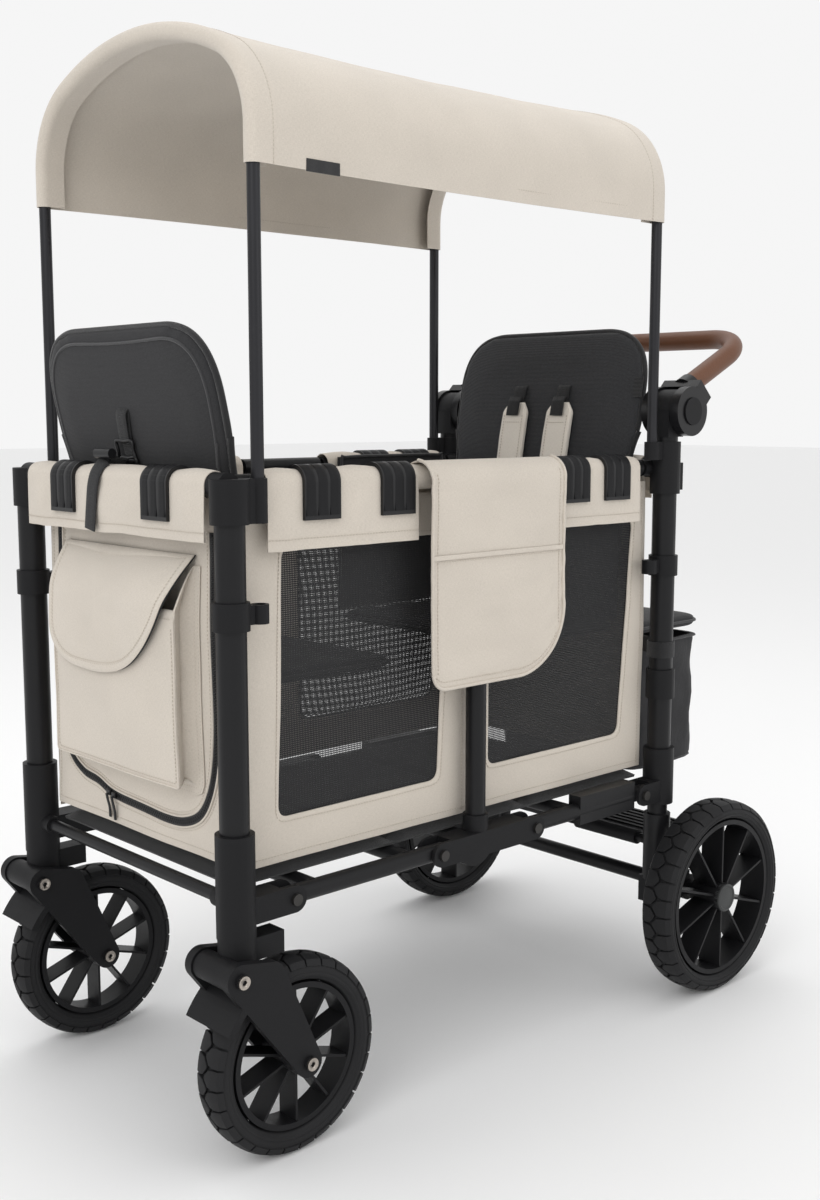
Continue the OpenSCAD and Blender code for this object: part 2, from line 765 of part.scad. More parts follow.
// Middle brackets, joined by their cross tube
module mid_brackets() {
    inner = mid_post_d + 2 * fit;
    boss_d = 66;
    boss_y = mid_post_y - 15;
    color("#1b1b1c") difference() {
        union() {
            both() {
                cheeks(mid_front_y, mid_y);
                cheeks(mid_rear_y, mid_y);
                difference() {
                    along_x(boss_d, px - cheek_w / 2, px + cheek_w / 2, boss_y, low_rail_z + 6);
                    box(px - cheek_w, px + cheek_w, boss_y - boss_d, boss_y + boss_d,
                        low_rail_z + 9, low_rail_z + boss_d);
                }
                upright(mid_post_d + 7, low_rail_z, low_rail_z + 38, px, mid_post_y);
            }
            along_x(cross_d, -px, px, mid_post_y - 7, cross_z);
        }
        both() upright(inner, mid_post_foot, low_rail_z + 60, px, mid_post_y);
    }
}

// Middle posts with the top bracket welded on
module mid_posts() {
    top = top_rail_z + sleeve_out - 8;
    color("#1d1d1f") both() union() {
        upright(mid_post_d, mid_post_foot, top, px, mid_post_y);
        upright(mid_post_d + 3, top - 40, top_rail_z - 2, px, mid_post_y);
        tongue_stub(mid_front_y, mid_post_y);
        tongue_stub(mid_rear_y, mid_post_y);
    }
}

module mid_pivot_bolts() {
    color("#8a8178") both() for (y = [mid_front_y, mid_rear_y]) {
        low_pin(y);
        top_pin(y);
    }
}

// Canvas flap that hangs over one side rail
module side_flap() {
    low = top_rail_z - 274;
    r_out = 22;
    x_out = px + mid_post_d / 2 + 6.6;
    top = top_rail_z + sleeve_out + 4.5;
    x_in = rail_x - sleeve_out - 4.2;
    outer = concat([[x_out, low]], arc(x_out - r_out, top - r_out, r_out, 0, 90, 6),
                   arc(x_in + r_out, top - r_out, r_out, 90, 180, 6), [[x_in, top_rail_z - 24]]);
    inner = concat([[x_in + canvas_t, top_rail_z - 24]],
                   arc(x_in + r_out, top - r_out, r_out - canvas_t, 180, 90, 6),
                   arc(x_out - r_out, top - r_out, r_out - canvas_t, 90, 0, 6), [[x_out - canvas_t, low]]);
    color("#e6ddd0") slab_y(mid_front_y - 34, mid_rear_y + 57) polygon(concat(outer, inner));
}

// ---- front frame ----------------------------------------------------------

module front_posts() {
    color("#1d1d1f") both() post(post_foot_z, front_post_top, -py);
}

module front_clamps() {
    color("#232325") both() {
        guide_collar(guide_z - 1, guide_z + guide_h + 1, -py);
        post_top(-py, front_pivot_y, front_clamp_z, front_clamp_z)
            upright(post_d + 2 * fit, front_clamp_z[0] - cut, front_post_top, px, -py);
    }
}

module front_sockets() {
    boss_x = px - socket_d / 2 - 12;
    color("#1b1b1c") both() difference() {
        union() {
            upright(socket_d, swivel_top, front_socket_top, px, -py);
            along_x(crossbar_d + 8, boss_x, px, -py, crossbar_z);
            cheeks(front_pivot_y, -py);
        }
        upright(post_d + 2 * fit, post_foot_z, front_socket_top + cut, px, -py);
        upright(swivel_stem_d + 2 * fit, swivel_top - cut, post_foot_z + cut, px, -py);
        along_x(crossbar_d + 2 * fit, boss_x - cut, px - socket_d / 2, -py, crossbar_z);
    }
}
module front_crossbar() {
    color("#202022") along_x(crossbar_d, -px + socket_d / 2, px - socket_d / 2, -py, crossbar_z);
}
module front_top_rail() {
    color("#202022") difference() {
        along_x(top_rail_d, -px + clamp_d / 2, px - clamp_d / 2, -py, top_rail_z);
        along_x(top_rail_d - 2 * rail_wall, -px, px, -py, top_rail_z);
    }
}
module front_pivot_bolts() {
    color("#8a8178") both() {
        low_pin(front_pivot_y);
        top_pin(front_pivot_y);
    }
}

// Front canvas: panel, sleeve, valance and the bellows pocket
module front_panel() {
    w = px - 39;
    side = panel_x - canvas_t - 0.5;
    color("#e2d9cc") mirror([0, 1, 0]) difference() {
        union() {
            slab_x(-w, w) translate([py, top_rail_z]) sleeve_shape(front_valance_drop);
            box(-side, side, panel_y, panel_y + canvas_t, panel_low_z + 7, top_rail_z - 20);
            box(-w, w, panel_y, panel_y + sleeve_t, top_rail_z - 21, top_rail_z);
            box(pocket_x[0], pocket_x[1], panel_y + 1, panel_y + canvas_t + pocket_d, pocket_z[0], pocket_z[1]);
        }
        box(pocket_x[0] + 3, pocket_x[1] - 3, panel_y + canvas_t, panel_y + canvas_t + pocket_d - 3,
            pocket_z[0] + 3, pocket_z[1] + cut);
    }
}
module pocket_flap() {
    y = -panel_y - canvas_t - pocket_d - soft;
    color("#e8dfd3") box(pocket_x[0] - 4, pocket_x[1] + 4, y - 4, y, pocket_z[1] - 142, pocket_z[1] + 8);
}
module front_clips() {
    color("#151516") mirror([0, 1, 0]) for (x = [-105, 105])
        slab_x(x - clip_w / 2, x + clip_w / 2) translate([py, top_rail_z]) clip_shape();
}
module front_seat() {
    color("#303033") mirror([0, 1, 0]) seat(seat_inner_y, 14 - front_back_y);
}
module front_seat_back() {
    color("#343338") translate([0, front_back_y, back_pivot_z]) rotate([front_lean, 0, 0])
        seat_back(front_back_w, (front_back_top - back_pivot_z) / cos(front_lean), 66);
}
module front_harness() {
    color("#ded5c8") translate([0, front_back_y, back_pivot_z]) rotate([front_lean, 0, 0])
        translate([0, back_t / 2 + soft, 0]) harness();
}

// Webbing strap with its buckle, from the front seat's back over the rail
module recline_strap() {
    y = -py - sleeve_out - soft;
    t = 2.5;
    z = front_back_top - 94;
    low = top_rail_z - 64;
    reach = front_back_y - (z - back_pivot_z) * tan(front_lean) - (back_t / 2 + 0.5) / cos(front_lean);
    color("#161617") translate([-8, 0, z]) rotate([0, 10.4, 0]) translate([8, 0, -z]) {
        slab_x(-20.5, 4.5) polygon([
            [reach, z], [y - 0.4, top_rail_z + 8], [y - 0.4, low], [y - 0.4 - t, low],
            [y - 0.4 - t, top_rail_z + 9], [reach - t, z + 2]
        ]);
    }
}

// ---- casters --------------------------------------------------------------

module swivel() {
    color("#1e1e20") difference() {
        union() {
            upright(swivel_d, 240, swivel_top - soft, px, -py);
            upright(swivel_stem_d, swivel_top - cut, post_foot_z - 0.5, px, -py);
            along_x(knuckle_d, px - knuckle_w / 2, px + knuckle_w / 2, fork_pin_y, fork_pin_z);
            box(px - 14, px + 14, -py + 10, -py + 58, 252, 279);
        }
        along_x(fork_pin_d + 2 * fit, px - fork_gap, px + fork_gap, fork_pin_y, fork_pin_z);
    }
}

// Outline of a tapered arm between two round ends, in (Y, Z)
module arm_outline(a, ra, b, rb) {
    d = norm(b - a);
    lean = atan2(b[1] - a[1], b[0] - a[0]);
    side = acos((ra - rb) / d);
    translate(a) circle(r = ra);
    translate(b) circle(r = rb);
    polygon([
        a + ra * [cos(lean + side), sin(lean + side)], b + rb * [cos(lean + side), sin(lean + side)],
        b + rb * [cos(lean - side), sin(lean - side)], a + ra * [cos(lean - side), sin(lean - side)]
    ]);
}

// Fork with its crown over the tyre, and the pivot and axle bolts
module fork() {
    a = [fork_pin_y, fork_pin_z];
    b = [front_axle_y, front_axle_z];
    shoulder = a + [42, -9];
    x1 = fork_gap / 2;
    x2 = x1 + fork_arm_t;
    crown_in = front_wheel_d / 2 + 4;
    color("#1e1e20") difference() {
        union() {
            for (s = [-1, 1]) slab_x(px + (s > 0 ? x1 : -x2), px + (s > 0 ? x2 : -x1)) {
                arm_outline(a, 19, shoulder, 20);
                arm_outline(shoulder, 20, b, 18);
                arm_outline(a, 19, b, 18);
                polygon([a, b, shoulder]);
            }
            slab_x(px - x2, px + x2) translate(b) polygon(concat(
                arc(0, 0, crown_in, 128, 150, 6), arc(0, 0, crown_in + 9, 150, 128, 6)));
        }
        for (p = [a, b])
            along_x(fork_pin_d + 2 * fit, px - x2 - cut, px + x2 + cut, p[0], p[1]);
    }
    color("#9a7f6a") for (p = [a, b]) {
        along_x(fork_pin_d, px - x2 - cut, px + x2 + cut, p[0], p[1]);
        along_x(17, px + x2, px + x2 + 4, p[0], p[1]);
        along_x(17, px - x2 - 4, px - x2, p[0], p[1]);
    }
}

// ---- canopy ---------------------------------------------------------------

module front_hoop() { color("#3a3b3d") hoop(-pole_y, hoop_foot_z); }
module rear_hoop() { color("#3a3b3d") hoop(pole_y, rear_hoop_foot_z); }
module canopy() {
    over = pole_y + hoop_d / 2 + 2;
    color("#d9cfc2") slab_y(-over, over) difference() {
        polygon(arch(0, canopy_edge_z));
        polygon(arch(cloth_t, canopy_edge_z - cut));
    }
}

module left_of() { mirror([1, 0, 0]) children(); }

place() rear_posts();
place() rear_clamps();
place() rear_sockets();
place() rear_top_rail();
place() handle_bases();
place() rear_pivot_bolts();
place() rear_panel();
place() basket();
place() rear_seat();
place() rear_bag();
place() bag_lid();
place() rear_seat_back();
place() rear_harness();
place() rear_legs();
place() left_of() rear_rim();  // rear_left_rim
place() left_of() rear_tyre();  // rear_left_tyre
place() rear_rim();  // rear_right_rim
place() rear_tyre();  // rear_right_tyre
place() brake_pedal();
place() handle_hubs();
place() handle_bar();
place() handle_grip();
place() left_of() handle_button();  // left_handle_button
place() handle_button();  // right_handle_button
place() left_of() latch_button();  // left_latch_button
place() latch_button();  // right_latch_button
place() rear_bottom_links();
place() rear_top_links();
place() rear_rail_clips();
place() mid_brackets();
place() mid_posts();
place() mid_pivot_bolts();
place() side_flap();
place() front_bottom_links();
place() front_top_links();
place() front_rail_clips();
place() front_posts();
place() front_clamps();
place() front_sockets();
place() front_crossbar();
place() front_top_rail();
place() front_pivot_bolts();
place() front_panel();
place() front_clips();
place() front_seat();
place() recline_strap();
place() pocket_flap();
place() front_seat_back();
place() front_harness();
place() left_of() swivel();  // left_swivel
place() swivel();  // right_swivel
place() left_of() fork();  // left_fork
place() fork();  // right_fork
place() left_of() front_rim();  // front_left_rim
place() left_of() front_tyre();  // front_left_tyre
place() front_rim();  // front_right_rim
place() front_tyre();  // front_right_tyre
place() front_hoop();
place() rear_hoop();
place() canopy();
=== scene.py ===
import math
import bpy
import bmesh
import json
import random
from mathutils import Matrix, Vector, noise

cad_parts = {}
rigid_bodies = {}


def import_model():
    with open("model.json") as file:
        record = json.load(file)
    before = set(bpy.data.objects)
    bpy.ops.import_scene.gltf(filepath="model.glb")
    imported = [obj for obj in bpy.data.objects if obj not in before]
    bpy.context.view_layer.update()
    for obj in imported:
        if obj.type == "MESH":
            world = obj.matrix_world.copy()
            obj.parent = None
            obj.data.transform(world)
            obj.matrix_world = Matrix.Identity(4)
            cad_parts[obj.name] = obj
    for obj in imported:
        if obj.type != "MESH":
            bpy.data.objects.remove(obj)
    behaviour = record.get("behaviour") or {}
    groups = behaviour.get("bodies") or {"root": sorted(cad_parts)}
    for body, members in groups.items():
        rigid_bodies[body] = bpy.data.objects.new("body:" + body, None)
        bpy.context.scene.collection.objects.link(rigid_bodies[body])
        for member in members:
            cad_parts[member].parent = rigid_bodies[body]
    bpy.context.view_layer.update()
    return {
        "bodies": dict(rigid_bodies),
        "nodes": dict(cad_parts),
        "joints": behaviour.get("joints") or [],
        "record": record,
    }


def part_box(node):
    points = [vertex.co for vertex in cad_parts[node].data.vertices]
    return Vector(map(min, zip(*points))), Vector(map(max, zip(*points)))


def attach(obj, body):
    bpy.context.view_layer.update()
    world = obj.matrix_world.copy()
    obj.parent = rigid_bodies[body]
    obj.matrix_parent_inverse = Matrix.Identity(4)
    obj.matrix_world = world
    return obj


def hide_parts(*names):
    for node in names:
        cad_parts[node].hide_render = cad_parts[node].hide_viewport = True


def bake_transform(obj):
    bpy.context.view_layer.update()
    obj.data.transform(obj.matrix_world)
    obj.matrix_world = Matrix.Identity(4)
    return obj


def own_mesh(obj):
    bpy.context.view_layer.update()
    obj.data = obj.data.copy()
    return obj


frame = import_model()

# ---- Room ------------------------------------------------------------------
# A plain pale studio: a matt floor, a bright even sky and three large soft
# lamps, with the camera at standing height off the wagon's front right corner.
bpy.ops.object.select_all(action="DESELECT")
bpy.ops.mesh.primitive_plane_add(size=60, location=(0, 0, 0))
floor = bpy.context.object
floor.name = "studio_floor"
floor_paint = bpy.data.materials.new("studio_floor")
floor_paint.use_nodes = True
floor_shader = floor_paint.node_tree.nodes["Principled BSDF"]
floor_shader.inputs["Base Color"].default_value = (0.9, 0.9, 0.9, 1)
floor_shader.inputs["Roughness"].default_value = 0.85
floor_shader.inputs["Specular IOR Level"].default_value = 0.2
floor.data.materials.append(floor_paint)

sky = bpy.data.worlds.new("studio_sky")
bpy.context.scene.world = sky
sky.use_nodes = True
sky.node_tree.nodes["Background"].inputs["Color"].default_value = (1, 1, 1, 1)
sky.node_tree.nodes["Background"].inputs["Strength"].default_value = 0.92


def soft_lamp(name, place, aim, size, power):
    bpy.ops.object.light_add(type="AREA", location=place)
    lamp = bpy.context.object
    lamp.name = name
    lamp.data.size = size
    lamp.data.energy = power
    lamp.rotation_euler = (Vector(aim) - Vector(place)).to_track_quat("-Z", "Y").to_euler()


soft_lamp("key_lamp", (1.6, -3.4, 2.9), (0, 0, 0.7), 2.2, 34)
soft_lamp("side_lamp", (3.6, 0.8, 2.2), (0, 0, 0.6), 2.4, 14)
soft_lamp("top_lamp", (-0.6, 0.3, 3.6), (0, 0, 0.6), 2.6, 26)

bpy.ops.object.camera_add(
    location=(1.488, -1.3832, 0.8754),
    rotation=(math.radians(90 - 7.61), 0, math.radians(47.07)),
)
camera = bpy.context.object
camera.data.lens = 42.13
camera.data.sensor_width = 36
bpy.context.scene.camera = camera
bpy.context.scene.view_settings.view_transform = "Standard"


# ---- Frame tubes -----------------------------------------------------------
# Round steel tube in satin black powder coat: posts, rails, cross tubes, the
# sprung rear legs and the bent handle bar. The coat has a faint orange peel,
# and the finish is a little duller where hands and fabric rub it.
def effect(name, inputs, outputs):
    """An empty shader node group with its sockets; returns the group and its two ends."""
    group = bpy.data.node_groups.new(name, "ShaderNodeTree")
    for label, kind, value in inputs:
        socket = group.interface.new_socket(label, in_out="INPUT", socket_type=kind)
        socket.default_value = value
    for label, kind in outputs:
        group.interface.new_socket(label, in_out="OUTPUT", socket_type=kind)
    return group, group.nodes.new("NodeGroupInput"), group.nodes.new("NodeGroupOutput")


FLOAT, COLOUR, VECTOR = "NodeSocketFloat", "NodeSocketColor", "NodeSocketVector"


def grain_effect():
    """Fine bumps and slow changes of shade, as on powder coat and moulded nylon."""
    group, start, end = effect(
        "grain",
        [("Size", FLOAT, 900), ("Depth", FLOAT, 0.2), ("Rough", FLOAT, 0.4), ("Rub", FLOAT, 0.12),
         ("Colour", COLOUR, (0.02, 0.02, 0.02, 1)), ("Worn", COLOUR, (0.06, 0.06, 0.06, 1))],
        [("Colour", COLOUR), ("Roughness", FLOAT), ("Normal", VECTOR)],
    )
    nodes, link = group.nodes, group.links.new
    place = nodes.new("ShaderNodeTexCoord")
    fine = nodes.new("ShaderNodeTexNoise")
    fine.inputs["Detail"].default_value = 3
    slow = nodes.new("ShaderNodeTexNoise")
    slow.inputs["Scale"].default_value = 14
    slow.inputs["Detail"].default_value = 6
    rubbed = nodes.new("ShaderNodeMapRange")
    rubbed.inputs["From Min"].default_value = 0.52
    rubbed.inputs["From Max"].default_value = 0.78
    rubbed.inputs["To Min"].default_value = 0
    amount = nodes.new("ShaderNodeMath")
    amount.operation = "MULTIPLY"
    rough = nodes.new("ShaderNodeMath")
    rough.operation = "ADD"
    shade = nodes.new("ShaderNodeMix")
    shade.data_type = "RGBA"
    bump = nodes.new("ShaderNodeBump")
    bump.inputs["Distance"].default_value = 0.0004
    link(place.outputs["Object"], fine.inputs["Vector"])
    link(place.outputs["Object"], slow.inputs["Vector"])
    link(start.outputs["Size"], fine.inputs["Scale"])
    link(slow.outputs["Fac"], rubbed.inputs["Value"])
    link(start.outputs["Rub"], rubbed.inputs["To Max"])
    link(rubbed.outputs["Result"], amount.inputs[0])
    amount.inputs[1].default_value = 1.6
    link(amount.outputs[0], rough.inputs[1])
    link(start.outputs["Rough"], rough.inputs[0])
    link(rubbed.outputs["Result"], shade.inputs["Factor"])
    link(start.outputs["Colour"], shade.inputs["A"])
    link(start.outputs["Worn"], shade.inputs["B"])
    link(start.outputs["Depth"], bump.inputs["Strength"])
    link(fine.outputs["Fac"], bump.inputs["Height"])
    link(shade.outputs["Result"], end.inputs["Colour"])
    link(rough.outputs[0], end.inputs["Roughness"])
    link(bump.outputs["Normal"], end.inputs["Normal"])
    return group


GRAIN = grain_effect()


def new_material(name):
    material = bpy.data.materials.new(name)
    material.use_nodes = True
    return material, material.node_tree, material.node_tree.nodes["Principled BSDF"]


def grained(name, colour, worn, rough, size, depth, metallic=0.0, rub=0.12, gloss=0.3):
    """A hard finish made with the grain effect."""
    material, tree, shader = new_material(name)
    grain = tree.nodes.new("ShaderNodeGroup")
    grain.node_tree = GRAIN
    for label, value in (("Size", size), ("Depth", depth), ("Rough", rough), ("Rub", rub),
                         ("Colour", (*colour, 1)), ("Worn", (*worn, 1))):
        grain.inputs[label].default_value = value
    tree.links.new(grain.outputs["Colour"], shader.inputs["Base Color"])
    tree.links.new(grain.outputs["Roughness"], shader.inputs["Roughness"])
    tree.links.new(grain.outputs["Normal"], shader.inputs["Normal"])
    shader.inputs["Metallic"].default_value = metallic
    shader.inputs["Specular IOR Level"].default_value = gloss
    return material


def finish(node, material):
    """Gives a CAD node its finish."""
    slots = frame["nodes"][node].data.materials
    slots.clear()
    slots.append(material)


satin_black = grained("satin_black_coat", (0.009, 0.009, 0.01), (0.022, 0.022, 0.023), 0.36, 2600, 0.1,
                      gloss=0.22)
for tube in ("rear_posts", "front_posts", "mid_posts", "rear_top_rail", "front_top_rail", "front_crossbar",
             "rear_bottom_links", "front_bottom_links", "rear_top_links", "front_top_links", "rear_legs",
             "handle_bar"):
    finish(tube, satin_black)


# ---- Moulded fittings ------------------------------------------------------
# Glass-filled black nylon with a fine spark texture: post clamps, sockets,
# pivots, swivels, forks, the brake pedal, hubs and the seat clips on the rails.
textured_nylon = grained("textured_nylon", (0.011, 0.011, 0.012), (0.028, 0.028, 0.029), 0.48, 1500, 0.35,
                         rub=0.1, gloss=0.15)
for moulding in ("rear_clamps", "front_clamps", "rear_sockets", "front_sockets", "handle_bases",
                 "mid_brackets", "left_swivel", "right_swivel", "left_fork", "right_fork", "brake_pedal"):
    finish(moulding, textured_nylon)
polished_nylon = grained("polished_nylon", (0.009, 0.009, 0.01), (0.022, 0.022, 0.022), 0.3, 700, 0.08,
                         gloss=0.35)
for moulding in ("rear_rail_clips", "front_rail_clips", "front_clips", "handle_hubs"):
    finish(moulding, polished_nylon)
button_nylon = grained("button_nylon", (0.008, 0.008, 0.009), (0.02, 0.02, 0.02), 0.42, 1200, 0.2,
                       gloss=0.18)
for button in ("left_handle_button", "right_handle_button"):
    finish(button, button_nylon)
grey_nylon = grained("grey_nylon", (0.09, 0.09, 0.095), (0.14, 0.14, 0.14), 0.45, 1200, 0.2)
for button in ("left_latch_button", "right_latch_button"):
    finish(button, grey_nylon)

# ---- Pins and bolts --------------------------------------------------------
# Zinc-plated steel for bolt heads, blackened steel for the fold pins, and the
# dark hoops' alloy tube, which is drawn, brushed lengthwise and anodised nearly black.
bright_steel = grained("bright_steel", (0.42, 0.38, 0.34), (0.25, 0.22, 0.2), 0.28, 500, 0.1, metallic=1.0)
dark_steel = grained("blackened_steel", (0.05, 0.048, 0.046), (0.12, 0.11, 0.1), 0.35, 900, 0.1,
                     metallic=0.7)
for pins in ("rear_pivot_bolts", "mid_pivot_bolts", "front_pivot_bolts"):
    finish(pins, dark_steel)
anodised = grained("anodised_tube", (0.03, 0.03, 0.033), (0.06, 0.06, 0.062), 0.3, 1800, 0.08, metallic=0.6)
for hoop in ("front_hoop", "rear_hoop"):
    finish(hoop, anodised)

# ---- Tyres -----------------------------------------------------------------
# Foam-filled rubber on all four wheels: a rounded carcass with two ridge lines
# pressed into each sidewall, and two rows of big pointed blocks that meet in a
# zigzag groove along the middle and wrap over the shoulders.
def deselect():
    if bpy.context.object and bpy.context.object.mode != "OBJECT":
        bpy.ops.object.mode_set(mode="OBJECT")
    bpy.ops.object.select_all(action="DESELECT")


def settle(piece, sharp=40):
    """Puts a piece's place into its mesh and points its faces outwards."""
    deselect()
    bpy.context.view_layer.objects.active = piece
    piece.select_set(True)
    bpy.ops.object.transform_apply(location=True, rotation=True, scale=True)
    bpy.ops.object.mode_set(mode="EDIT")
    bpy.ops.mesh.select_all(action="SELECT")
    bpy.ops.mesh.remove_doubles(threshold=0.00001)
    bpy.ops.mesh.normals_make_consistent(inside=False)
    bpy.ops.object.mode_set(mode="OBJECT")
    bpy.ops.object.shade_smooth_by_angle(angle=math.radians(sharp))
    piece.select_set(False)


def apply_all(piece):
    """Applies every modifier of a piece in turn."""
    bpy.context.view_layer.objects.active = piece
    for modifier in list(piece.modifiers):
        bpy.ops.object.modifier_apply(modifier=modifier.name)


def wear(piece, material):
    piece.data.materials.clear()
    piece.data.materials.append(material)


def gather(name, parts):
    """Joins pieces into one mesh."""
    deselect()
    for part in parts:
        part.select_set(True)
    bpy.context.view_layer.objects.active = parts[0]
    bpy.ops.object.join()
    parts[0].name = name
    return parts[0]


def rubber_finish():
    material, tree, shader = new_material("tread_rubber")
    nodes, link = tree.nodes, tree.links.new
    grain = nodes.new("ShaderNodeGroup")
    grain.node_tree = GRAIN
    for label, value in (("Size", 1100), ("Depth", 0.35), ("Rough", 0.55), ("Rub", 0.22),
                         ("Colour", (0.015, 0.015, 0.016, 1)), ("Worn", (0.035, 0.034, 0.034, 1))):
        grain.inputs[label].default_value = value
    link(grain.outputs["Colour"], shader.inputs["Base Color"])
    link(grain.outputs["Roughness"], shader.inputs["Roughness"])
    link(grain.outputs["Normal"], shader.inputs["Normal"])
    shader.inputs["Specular IOR Level"].default_value = 0.18
    return material


tread_rubber = rubber_finish()
TREAD = 0.0042
ROUNDNESS = 2.7


def tread_block(length, width, tip):
    """One flat tread block, pointed at one end, from a bevelled and subdivided cube."""
    bpy.ops.mesh.primitive_cube_add(size=1, location=(0, 0, 0))
    block = bpy.context.object
    bpy.ops.object.mode_set(mode="EDIT")
    bpy.ops.mesh.subdivide(number_cuts=3)
    bpy.ops.object.mode_set(mode="OBJECT")
    for vertex in block.data.vertices:
        along = vertex.co.x + 0.5
        narrow = 1.0 if along > 0.3 else 0.12 + 0.88 * along / 0.3
        vertex.co.x = tip + along * length
        vertex.co.y *= width * narrow
        vertex.co.z = (vertex.co.z + 0.5) * (TREAD + 0.001) - 0.001
        vertex.co.z *= 1.0 if along < 0.8 else 1 - 0.6 * (along - 0.8) / 0.2
    bevel = block.modifiers.new("edge", "BEVEL")
    bevel.width = 0.0008
    bevel.segments = 1
    bevel.limit_method = "ANGLE"
    bevel.angle_limit = math.radians(50)
    apply_all(block)
    return block


def make_tyre(side, end, body, count):
    node = f"{end}_{side}_tyre"
    low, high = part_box(node)
    rim_low, rim_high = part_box(f"{end}_{side}_rim")
    middle = Vector((low + high) / 2)
    wide = (high[0] - low[0]) / 2
    outer = (high[2] - low[2]) / 2 - TREAD
    bead = (rim_high[2] - rim_low[2]) / 2 + 0.0003
    ring, tall = (outer + bead) / 2, (outer - bead) / 2

    def skin(phi):
        c, s = math.cos(phi), math.sin(phi)
        reach = (abs(c) ** ROUNDNESS + abs(s) ** ROUNDNESS) ** (-1 / ROUNDNESS)
        across, up = c * reach * (wide - 0.0004), ring + s * reach * tall
        return Vector((across, up))

    slices = [skin(math.radians(90 - k)) for k in range(91)]
    run = [0.0]
    for near, far in zip(slices, slices[1:]):
        run.append(run[-1] + (far - near).length)

    def over(reach_out, around, lift):
        """A point on the carcass, from the distance across, the turn and the height above it."""
        sign = -1 if reach_out < 0 else 1
        reach_out = abs(reach_out)
        step = next((k for k in range(90) if run[k + 1] >= reach_out), 89)
        part = (reach_out - run[step]) / (run[step + 1] - run[step])
        here = slices[step].lerp(slices[step + 1], part)
        along = (slices[step + 1] - slices[step]).normalized()
        out = Vector((-along.y, along.x))
        if out.y < 0:
            out = -out
        spot = here + out * lift
        return Vector((sign * spot.x, spot.y * math.sin(around), spot.y * math.cos(around))) + middle

    # Carcass: a closed profile spun about the axle
    bpy.ops.mesh.primitive_circle_add(vertices=72, radius=1)
    carcass = bpy.context.object
    for index, vertex in enumerate(carcass.data.vertices):
        phi = 2 * math.pi * index / 72
        spot = skin(phi)
        low_share = (spot.y - bead) / (outer - bead)
        if abs(spot.x) > 0.8 * wide and (0.16 < low_share < 0.24 or 0.38 < low_share < 0.46):
            spot.x *= 0.965
        vertex.co = middle + Vector((spot.x, 0, spot.y))
    bpy.ops.object.mode_set(mode="EDIT")
    bpy.ops.mesh.select_all(action="SELECT")
    bpy.ops.mesh.spin(steps=96, angle=2 * math.pi, center=middle, axis=(1, 0, 0))
    bpy.ops.object.mode_set(mode="OBJECT")

    pitch = 2 * math.pi / count
    block = tread_block(run[70] + 0.0005, pitch * outer - 0.0022, -0.0018)
    shell = bmesh.new()
    for row in (1, -1):
        for turn in range(count):
            angle = pitch * (turn + (0.5 if row < 0 else 0))
            first = len(shell.verts)
            shell.from_mesh(block.data)
            shell.verts.ensure_lookup_table()
            for vertex in shell.verts[first:]:
                x, y, z = vertex.co
                vertex.co = over(row * x, angle + y / outer, z)
    blocks = bpy.data.objects.new("blocks", bpy.data.meshes.new("blocks"))
    bpy.context.collection.objects.link(blocks)
    shell.to_mesh(blocks.data)
    shell.free()
    bpy.data.objects.remove(block)
    tyre = gather(f"{node}_treaded", [carcass, blocks])
    settle(tyre, 35)
    wear(tyre, tread_rubber)
    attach(tyre, body)
    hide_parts(node)


for side in ("left", "right"):
    make_tyre(side, "rear", f"rear_{side}_wheel", 34)
    make_tyre(side, "front", f"front_{side}_wheel", 29)


# ---- Wheel rims and hub caps -----------------------------------------------
# One-piece nylon mouldings with ten thin fins in a deep dish. The rear hubs are
# closed by a push-on dark grey cap with a raised lip.
rim_nylon = grained("rim_nylon", (0.009, 0.009, 0.01), (0.02, 0.02, 0.02), 0.42, 1300, 0.2, gloss=0.18)
for end in ("rear", "front"):
    for side in ("left", "right"):
        finish(f"{end}_{side}_rim", rim_nylon)
cap_nylon = grained("hub_cap_nylon", (0.045, 0.047, 0.047), (0.07, 0.07, 0.07), 0.5, 1300, 0.25)
for side, out in (("left", -1), ("right", 1)):
    low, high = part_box(f"rear_{side}_rim")
    axle = Vector((low + high) / 2)
    face = (high[0] if out > 0 else low[0]) - out * 0.0015
    bpy.ops.mesh.primitive_cylinder_add(vertices=48, radius=0.021, depth=0.008,
                                        location=(face, axle.y, axle.z),
                                        rotation=(0, math.radians(90) * out, 0))
    cap = bpy.context.object
    cap.name = f"rear_{side}_hub_cap"
    bpy.ops.object.mode_set(mode="EDIT")
    bpy.ops.mesh.select_all(action="DESELECT")
    edit = bmesh.from_edit_mesh(cap.data)
    for face in edit.faces:
        face.select = face.normal.z > 0.9
    bmesh.update_edit_mesh(cap.data)
    bpy.ops.mesh.inset(thickness=0.003, depth=0.0012)
    bpy.ops.mesh.inset(thickness=0.0016, depth=-0.0014)
    bpy.ops.mesh.inset(thickness=0.009, depth=0.0008)
    bpy.ops.object.mode_set(mode="OBJECT")
    settle(cap, 30)
    wear(cap, cap_nylon)
    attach(cap, f"rear_{side}_wheel")

# ---- Canopy ----------------------------------------------------------------
# One sheet of heathered ecru canvas over two hoops. Each end is turned back
# round its hoop and stitched down, both long edges have a narrow hem, and the
# cloth hangs a little slack between the hoops. A blank black tab is sewn on.
front_post = sum((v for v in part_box("front_posts")), Vector()) / 2
rear_post = sum((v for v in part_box("rear_posts")), Vector()) / 2
MIDDLE = (front_post.y + rear_post.y) / 2


def at(x, y, z):
    """A point from its distance off the wagon's middle, in metres."""
    return Vector((x, MIDDLE + y, z))


